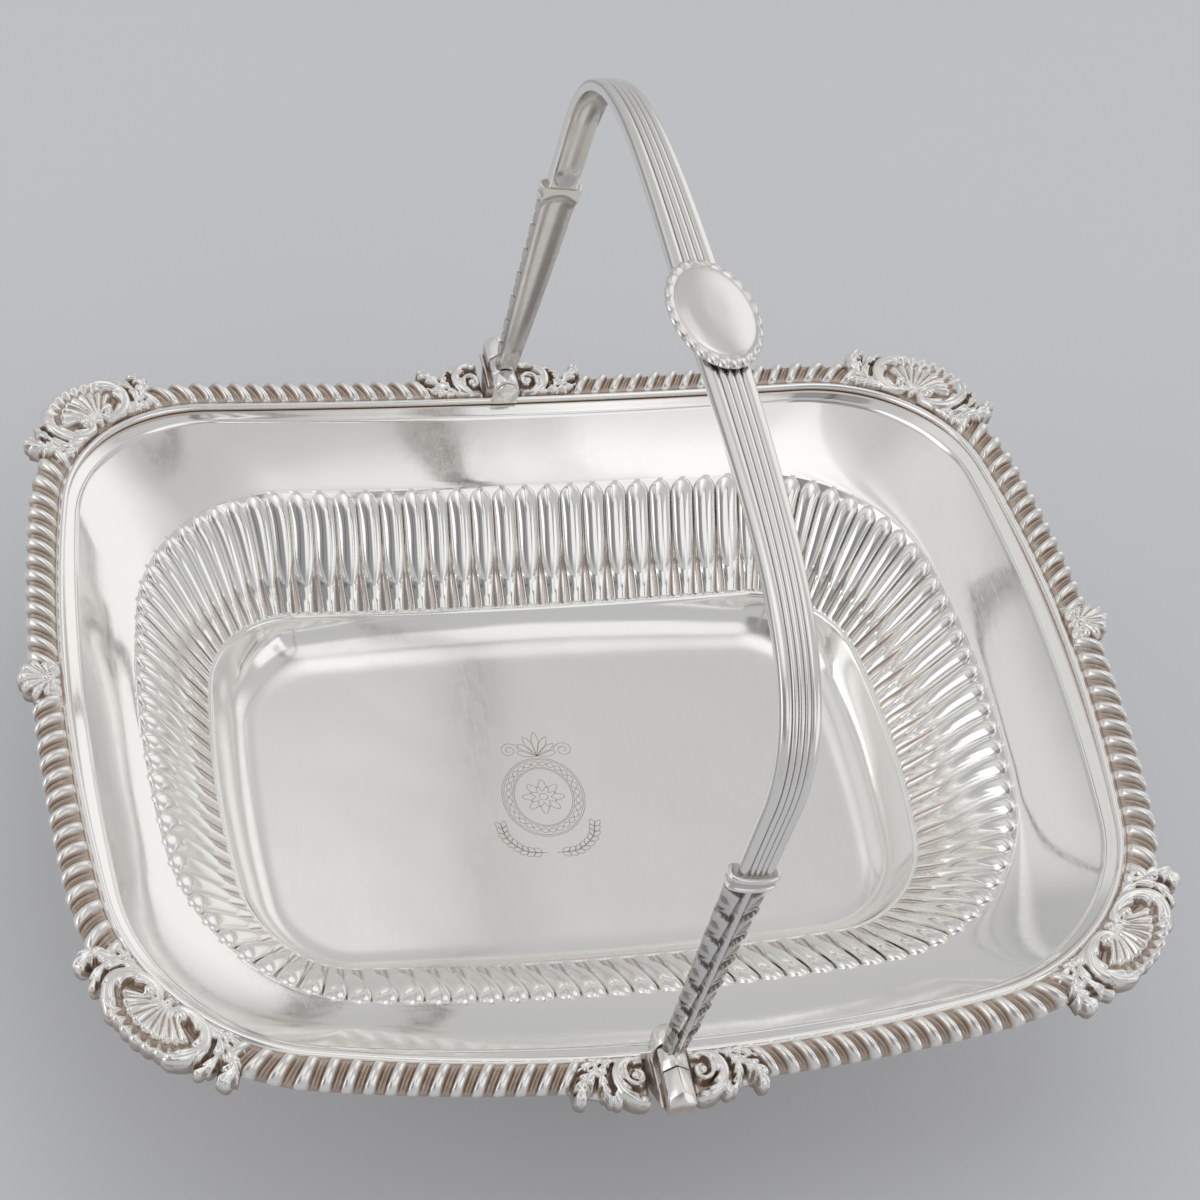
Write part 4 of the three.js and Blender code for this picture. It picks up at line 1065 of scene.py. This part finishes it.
def make_plate(place, side):
    """The bracket, with a thin upright cheek on each side of the knuckles."""
    outline = [(-5.3, -1.0), (-5.6, -0.6), (-5.6, -0.2), (-5.3, 0), (5.3, 0), (5.6, -0.2), (5.6, -0.6),
               (5.3, -1.0)]
    seats = [(PLATE[0], -9.2, 1), (HALF_WIDTH + 3.5, -9.9, 1), (HALF_WIDTH + RIM_EDGE + GAP, -10.0, 1),
             (PLATE[1] - 3, -6.6, 0.78), (PLATE[1], -5.2, 0.66)]
    loops = np.array([[(x * width, side * y, PIN_HEIGHT + PLATE_TOP - SEAM + z * (low - PLATE_TOP)
                        if z > -0.3 else PIN_HEIGHT + low + (z + 1.0)) for x, z in outline]
                      for y, low, width in seats])
    skins = [tube(loops, 0.7)]
    for cheek in (-1, 1):
        along = np.linspace(HALF_WIDTH + 2.0, PLATE[1] - 0.6, 10)
        rise = 1.1 * np.sin(np.pi * np.linspace(0.1, 0.9, 10))**0.4
        wall = np.array([[(cheek * 4.5 + x, side * y, PIN_HEIGHT + PLATE_TOP - 0.4 + z * (high + 0.4))
                          for x, z in CHEEK] for y, high in zip(along, rise)])
        skins.append(tube(wall, np.array([1, 0.6, 0.1, 0.1, 0.6, 1.0])[None, :]))
    make_piece(f"hinge_plate_{place}", skins, cast_silver, "basket")


def make_pin(place, side):
    """The pin, with its domed head against the inner lug."""
    round_pin = on_circle(np.linspace(0, 2 * np.pi, 40, endpoint=False))
    head = LUG[0] - GAP
    stations = [(head - 0.9, 0.6), (head - 0.86, 2.1), (head - 0.7, 2.7), (head - 0.35, 2.97),
                (head, 3.0), (head, 1.5), (OUTER[0] + 5.7, 1.5)]
    loops = np.array([[(x * radius, side * y, PIN_HEIGHT + z * radius) for x, z in round_pin]
                      for y, radius in stations])
    shade = np.array([0, 0, 0, 0.35, 0.9, 1, 1])[:, None]
    make_piece(f"hinge_pin_{place}", [tube(loops, shade)], pin_silver, "basket")


hinge("back", 1)
hinge("front", -1)

# %% [markdown]
# ## The handle
# The handle follows one line in its own plane: a straight leg, a smooth shoulder and a flat
# top, all leaning a few degrees. Sections square to that line carry the forms: the leg's
# overlapping leaves with a rib up the middle, the plain collar, and the reeded arch. A cast
# handle has to save metal, so leg and arch have a hollow back that ends like a spoon at the
# collar, with a narrow bar between the two.

# %% The handle's centre line
HANDLE_LEAN = math.radians(6.2)
HANDLE_FOOT = HALF_WIDTH + 4.6
LEG_TILT = 1.8
SHOULDER = (HANDLE_FOOT - LEG_TILT, 103.0)
HANDLE_TOP = 143.3
SHOULDER_PULL, TOP_PULL = 41.0, 71.0
leg_length = math.hypot(LEG_TILT, SHOULDER[1])
leg_way = np.array([-LEG_TILT, SHOULDER[1]]) / leg_length
bend_points = [np.array(SHOULDER), np.array(SHOULDER) + leg_way * SHOULDER_PULL,
               np.array([TOP_PULL, HANDLE_TOP]), np.array([0.0, HANDLE_TOP])]
straight = np.array([HANDLE_FOOT, 0]) + leg_way * np.linspace(0, leg_length, 60)[:-1, None]
centre_line = np.vstack([straight, bezier(bend_points, np.linspace(0, 1, 400))])
line_length = np.concatenate([[0], np.cumsum(np.linalg.norm(np.diff(centre_line, axis=0), axis=1))])
HALF_LINE = line_length[-1]
print("half of the handle's line is", round(HALF_LINE, 1), "mm long")


def line_spot(distance):
    """A point of the handle's line at a distance from the pin."""
    return np.array([np.interp(distance, line_length, centre_line[:, i]) for i in (0, 1)])


def handle_loops(distances, sections, side):
    """Sections of across and out points, set square to the line at distances from the pin."""
    loops = []
    for distance, section in zip(distances, sections):
        spot = line_spot(distance)
        way = line_spot(distance + 0.5) - line_spot(distance - 0.5)
        way /= np.linalg.norm(way)
        across, out = np.asarray(section)[:, 0], np.asarray(section)[:, 1]
        y = side * (spot[0] + way[1] * out)
        z = spot[1] - way[0] * out
        loops.append(np.column_stack([across, y, z]))
    return leaning(np.array(loops))


def leaning(points):
    """Points of the handle's own plane, leaned and lifted to the pin."""
    x = points[..., 0] * math.cos(HANDLE_LEAN) + points[..., 2] * math.sin(HANDLE_LEAN)
    z = -points[..., 0] * math.sin(HANDLE_LEAN) + points[..., 2] * math.cos(HANDLE_LEAN)
    return np.stack([x, points[..., 1], z + PIN_HEIGHT], -1)


# %% Leaves up the leg
LEG_FROM, COLLAR_AT, COLLAR_LENGTH = 4.0, 74.3, 5.5
LEG_LOW, LEG_HIGH, LEG_WIDENING = 6.6, 12.4, 0.55
LEAFLETS = 7
leg_across = np.linspace(-1, 1, 33)
back_across = np.linspace(0.94, -0.94, 25)
SPOON_END, BACK_BAR = 6.5, 2.0
BACK_AT, SCOOP = -2.3, 1.9
LEG_SPOON_STOP = COLLAR_AT + COLLAR_LENGTH - BACK_BAR


def scooped(to_end):
    """Depth of a hollow back: 1 in the middle, 0 on its rim and where its rounded end stops."""
    past = np.clip(1 - to_end / SPOON_END, 0, 1)
    return np.clip(1 - np.abs(back_across)**2.2 - past**2.2, 0, 1)


def leg_section(distance):
    """A slice of the leg, and its hollow: tarnish in the recesses, painted shade over the front and on the
    hollow back.
    """
    share = max((distance - LEG_FROM) / (COLLAR_AT - GAP - LEG_FROM), 0)
    smooth_half = (LEG_LOW + (LEG_HIGH - LEG_LOW) * share**LEG_WIDENING) / 2
    x = leg_across
    phase = np.mod(share * LEAFLETS - 0.42 * np.abs(x) + 0.42, 1)
    edge_phase = np.mod(share * LEAFLETS, 1)
    half = smooth_half * (1 + 0.10 * ramp(share, 0.0, 0.08) * (edge_phase - 0.55))
    notches = math.exp(-((edge_phase - 0.5) / 0.06)**2) + 1.6 * math.exp(-(edge_phase / 0.07)**2)
    half = half - 0.4 * notches * float(ramp(share, 0, 0.08))
    body = -0.4 + 1.9 * (1 - x**2)**0.75
    leaflet = (1.1 * phase**1.3 - 0.6) * ramp(np.abs(x), 0.10, 0.3) * ramp(share, 0.0, 0.06)
    eye = np.exp(-((phase - 0.48) / 0.07)**2 - ((np.abs(x) - 0.78) / 0.16)**2)
    rib = 1.0 * np.exp(-(x / 0.13)**4)
    beside = np.exp(-((np.abs(x) - 0.22) / 0.06)**2)
    out = body + leaflet * (1 - x**2)**0.25 + rib - 0.45 * beside - 0.5 * eye
    crease = np.exp(-((phase - 0.04) / 0.07)**2) + np.exp(-((phase - 1.03) / 0.05)**2)
    # The whole front gets 0.28 of painted shade, darker where each leaflet is low near its edges; the
    # creases, the grooves beside the rib and the eyes add tarnish.
    hollow = 0.28 + 0.35 * (1 - phase) * ramp(np.abs(x), 0.15, 0.3) * np.abs(x)
    hollow = np.clip(hollow + 0.9 * crease * ramp(np.abs(x), 0.15, 0.3) + 0.8 * beside + eye, 0, 1)
    to_end = min(distance - LEG_FROM - 1.0, LEG_SPOON_STOP - distance)
    back = BACK_AT + SCOOP * scooped(to_end)
    section = np.column_stack([np.concatenate([x * half, back_across * 0.92 * smooth_half]),
                               np.concatenate([out, back])])
    # The hollow back gets 0.5 of painted shade.
    return section, np.concatenate([hollow, np.full(len(back), 0.5)])


leg_places = np.linspace(LEG_FROM - 0.9, COLLAR_AT + 0.8, 180)
leg_sections, leg_tarnish_and_shade = zip(*[leg_section(place) for place in leg_places])

# %% The collar and the reeded arch
ARCH_LOW, ARCH_HIGH, ARCH_THICK = 9.4, 14.0, 4.0
ARCH_FROM = COLLAR_AT + COLLAR_LENGTH + GAP
REED_EDGES = (0, 0.27, 0.42, 0.58, 0.73, 1)
collar_profile = flowing([(0, -0.3), (0.03, 0.1), (0.14, 0.55), (0.26, 0.5), (0.32, 0.1), (0.45, 0.0),
                          (0.6, 0.1), (0.68, 0.5), (0.82, 0.75), (0.95, 0.5), (1.0, -0.2)], 30)
collar_turn = np.linspace(0, np.pi, 25)


def collar_section(swell, distance):
    """A slice of the collar: a flattened arch outside, and the end of the leg's hollow behind."""
    half = LEG_HIGH / 2 + swell
    thick = ARCH_THICK / 2 + 0.9 + swell
    outside = np.column_stack([-half * np.cos(collar_turn), thick * np.sin(collar_turn)**0.6])
    back = np.column_stack([back_across * half * 0.94,
                            BACK_AT - 0.05 + SCOOP * scooped(LEG_SPOON_STOP - distance)])
    return np.vstack([outside, back])


# The collar's grooves hold tarnish, and its hollow back gets 0.5 of painted shade.
collar_shade = np.clip(0.5 - 1.2 * collar_profile[:, 1:2], 0, 0.7) * np.ones(len(collar_turn))
collar_shade = np.hstack([collar_shade, np.full((len(collar_profile), len(back_across)), 0.5)])
collar_places = COLLAR_AT + COLLAR_LENGTH * np.clip(collar_profile[:, 0], 0, 1)
collar_sections = [collar_section(swell, place) for swell, place in zip(collar_profile[:, 1], collar_places)]
reed_places = np.interp(np.linspace(0, 5, 61), range(6), REED_EDGES)
reed_phase = np.append(np.mod(np.linspace(0, 5, 61)[:-1], 1), 1)
reed_across = 2 * reed_places - 1


def arch_section(share):
    """A slice of the arch: rounded reeds outside, square sides and a hollow underneath."""
    to_end = share * (HALF_LINE - ARCH_FROM) - 0.5
    half = (ARCH_LOW + (ARCH_HIGH - ARCH_LOW) * share) / 2
    reed = np.sqrt(np.clip(1 - (2 * reed_phase - 1)**2, 0, 1))
    crown = 0.55 * (1 - reed_across**2)
    out = ARCH_THICK / 2 - 1.2 + 0.75 * reed + crown
    back = -ARCH_THICK / 2 + 0.1 + 1.8 * scooped(to_end)
    sides = np.array([[1.0, 0.1], [0.985, -1.0], [0.94, -1.9]])
    section = np.vstack([np.column_stack([reed_across * half * 0.985, out]), sides * [half, 1],
                         np.column_stack([back_across * half * 0.88, back]),
                         (sides * [-half, 1])[::-1]])
    # Tarnish lies between the reeds, and the hollow underneath gets 0.6 of painted shade.
    hollow = np.concatenate([0.9 * (1 - reed)**1.6, [0.1] * 3, np.full(len(back), 0.6), [0.1] * 3])
    return section, hollow


arch_places = np.linspace(ARCH_FROM - 1.2, HALF_LINE - 0.15, 200)
arch_sections, arch_tarnish_and_shade = zip(*[arch_section((place - ARCH_FROM) / (HALF_LINE - ARCH_FROM))
                                   for place in arch_places])
for place, side in (("back", 1), ("front", -1)):
    for name, places, sections, hollow, finish in (
        ("handle_leg", leg_places, leg_sections, np.array(leg_tarnish_and_shade), handle_silver),
        ("handle_collar", collar_places, collar_sections, collar_shade, handle_silver),
        ("handle_arch", arch_places, arch_sections, np.array(arch_tarnish_and_shade), arch_silver),
    ):
        skin = tube(handle_loops(places, sections, side), hollow)
        make_piece(f"{name}_{place}", [skin], finish, "handle")

# %% [markdown]
# ## The cartouche
# On top of the arch sits a plain domed oval, ringed by a wavy frame of small scallops. It is
# one skin of oval loops, from the middle of the dome out over the scallops and back beneath.

# %% Dome the cartouche
OVAL_LONG, OVAL_WIDE, SCALLOPS = 42.0, 26.0, 24
oval_turn = np.linspace(0, 2 * np.pi, SCALLOPS * 10, endpoint=False)
oval_base = HANDLE_TOP + ARCH_THICK / 2 + GAP
oval_rows = flowing([(0.03, 3.0, 0, 0), (0.3, 2.93, 0, 0), (0.55, 2.6, 0, 0), (0.74, 2.0, 0, 0),
                     (0.80, 1.65, 0, 0.25), (0.83, 1.65, 0.2, 0.25), (0.90, 2.0, 0.8, 0),
                     (0.96, 1.5, 1, 0), (0.985, 0.7, 1, 0.3), (0.94, 0.02, 0.6, 1)], 60)
wave = np.abs(np.sin(oval_turn * SCALLOPS / 2))**0.8
loops = []
for share, height, scallop, _ in oval_rows:
    edge = 0.6 * (wave - 0.7) * scallop
    lift = 0.45 * (wave - 1) * scallop
    loops.append(np.column_stack([(OVAL_WIDE / 2 * share + edge) * np.cos(oval_turn),
                                  (OVAL_LONG / 2 * share + edge) * np.sin(oval_turn),
                                  np.full(len(oval_turn), oval_base + height) + lift * (height > 0.4)]))
shade = np.clip(oval_rows[:, 3:4] + 0.35 * oval_rows[:, 2:3] * (1 - wave[None, :]), 0, 1)
make_piece("handle_cartouche", [tube(leaning(np.array(loops)), shade)], handle_silver, "handle")

# %% [markdown]
# ## The floor and the light
# Silver shows its surroundings, so the light is most of its look. The basket stands on a pale
# grey sheet under large soft boxes, as in a product studio, and the surroundings are a soft
# gradient, brighter above than at the horizon, so that no reflection is empty. A mirror with
# no edges to show looks like plaster, so a few windows, dark strips and ceiling seams stand in
# for the room.

# %% Lay the floor
floor_mesh = bpy.data.meshes.new("studio_floor")
REACH = 3.0
floor_mesh.from_pydata([(-REACH, -REACH, 0), (REACH, -REACH, 0), (REACH, REACH, 0), (-REACH, REACH, 0)],
                       [], [(0, 1, 2, 3)])
floor_finish = bpy.data.materials.new("pale_paper")
floor_finish.use_nodes = True
paper = floor_finish.node_tree.nodes["Principled BSDF"]
paper.inputs["Base Color"].default_value = (0.765, 0.78, 0.81, 1)
paper.inputs["Roughness"].default_value = 0.45
floor_mesh.materials.append(floor_finish)
studio_floor = bpy.data.objects.new("studio_floor", floor_mesh)
bpy.context.collection.objects.link(studio_floor)
studio_floor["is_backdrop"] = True


# %% Hang the soft boxes
def soft_box(name, place, aim, size, glow):
    """A rectangular light that faces a point and looks as bright as its glow in a mirror."""
    data = bpy.data.lights.new(name, "AREA")
    data.shape = "RECTANGLE"
    data.size, data.size_y = size
    data.energy = glow * math.pi * size[0] * size[1]
    lamp = bpy.data.objects.new(name, data)
    lamp.location = place
    away = np.array(place) - np.array(aim)
    lamp.rotation_euler = (math.acos(away[2] / np.linalg.norm(away)), 0,
                           math.atan2(away[1], away[0]) + math.pi / 2)
    bpy.context.collection.objects.link(lamp)


MIDDLE = (0, 0, 0.06)
soft_box("top_box", (0.0, 0.30, 1.35), (0, 0.30, 0), (1.60, 0.50), 0.20)
soft_box("left_box", (-1.45, -0.40, 0.62), MIDDLE, (0.8, 0.9), 0.75)
soft_box("right_box", (1.25, -0.85, 0.62), MIDDLE, (1.1, 0.9), 0.45)
soft_box("side_box", (-1.5, 0.15, 0.75), MIDDLE, (0.8, 0.7), 0.55)

# %% Colour the surroundings
# A window has a direction, the two edges of its fade, as cosines, and a strength. A dark is
# the same round the horizon, with the height where it starts before its strength. A seam is
# a place across the ceiling and a tone.
WINDOWS = (((0.72, 0.62, 0.31), 0.86, 0.975, 0.85), ((-0.56, 0.56, 0.61), 0.86, 0.97, 0.40),
           ((0.24, -0.60, 0.76), 0.94, 0.975, 0.80))
DARKS = (((-0.588, -0.809, 0), 0.80, 0.88, 0.50, 0.50), ((-0.60, -0.80, 0), 0.9975, 0.9995, 0.56, 0.60),
         ((0.72, -0.695, 0), 0.9975, 0.9995, 0.40, 0.60))
SEAMS = ((0.22, 0.85), (0.27, 1.3), (0.30, 1.35), (0.308, 0.75), (0.36, 0.9), (0.40, 1.0), (0.412, 0.7),
         (0.424, 1.05), (0.455, 1.1), (0.463, 0.62), (0.474, 1.0))
WINDOW_LIGHT, DARK_WALL = (1, 0.995, 0.98, 1), (0.03, 0.03, 0.035, 1)
world = bpy.data.worlds.new("studio")
world.use_nodes = True
bpy.context.scene.world = world
air = world.node_tree
direction = add_node(air, "ShaderNodeTexCoord").outputs["Generated"]
parts = add_node(air, "ShaderNodeSeparateXYZ", {0: direction}).outputs
flat = add_node(air, "ShaderNodeCombineXYZ", {0: parts[0], 1: parts[1]}).outputs[0]
level = add_node(air, "ShaderNodeVectorMath", {0: flat}, operation="NORMALIZE").outputs[0]


def facing(spot, way):
    """The cosine between a direction in the room and a fixed one."""
    return add_node(air, "ShaderNodeVectorMath", {0: spot, 1: way}, operation="DOT_PRODUCT").outputs["Value"]


upwards = facing(direction, (0, 0.14, 0.99))
heights = add_node(air, "ShaderNodeValToRGB", {0: upwards})
heights.color_ramp.elements[0].color = (0.50, 0.505, 0.515, 1)
heights.color_ramp.elements[1].color = (0.84, 0.84, 0.84, 1)
for at, tone in ((0.84, 0.55), (0.90, 0.60), (0.965, 0.82)):
    step = heights.color_ramp.elements.new(at)
    step.color = (tone, tone, tone, 1)
overhead = times(air, parts[0], parts[2], "DIVIDE")
seams = add_node(air, "ShaderNodeValToRGB", {0: times(air, times(air, overhead, 0.5), 0.5, "ADD")})
for seam_at, tone in SEAMS:
    seam = seams.color_ramp.elements.new(seam_at)
    seam.color = (tone, tone, tone, 1)
seams.color_ramp.elements[0].color = (0.9, 0.9, 0.9, 1)
behind = spread(air, parts[1], 0.2, 0.4, 0, 1)
room = mixed(air, behind, heights.outputs[0], seams.outputs[0], blend_type="MULTIPLY")
for way, first, last, amount in WINDOWS:
    bright = spread(air, facing(direction, way), first, last, 0, amount)
    room = mixed(air, bright, room, WINDOW_LIGHT)
for way, first, last, low, amount in DARKS:
    shade = times(air, spread(air, facing(level, way), first, last, 0, amount),
                  spread(air, parts[2], low - 0.12, low, 0, 1))
    shade = times(air, shade, spread(air, parts[2], 0.86, 0.93, 1, 0))
    room = mixed(air, shade, room, DARK_WALL)
air.links.new(room, air.nodes["Background"].inputs[0])
bpy.context.scene.view_settings.view_transform = "Standard"

# %% [markdown]
# ## The size
# The dressed basket has to fill the same box as the CAD model, so its box is printed.

# %% Print the box and finish
low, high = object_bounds()
print("visual box", [round(value, 4) for value in (*low, *high)])
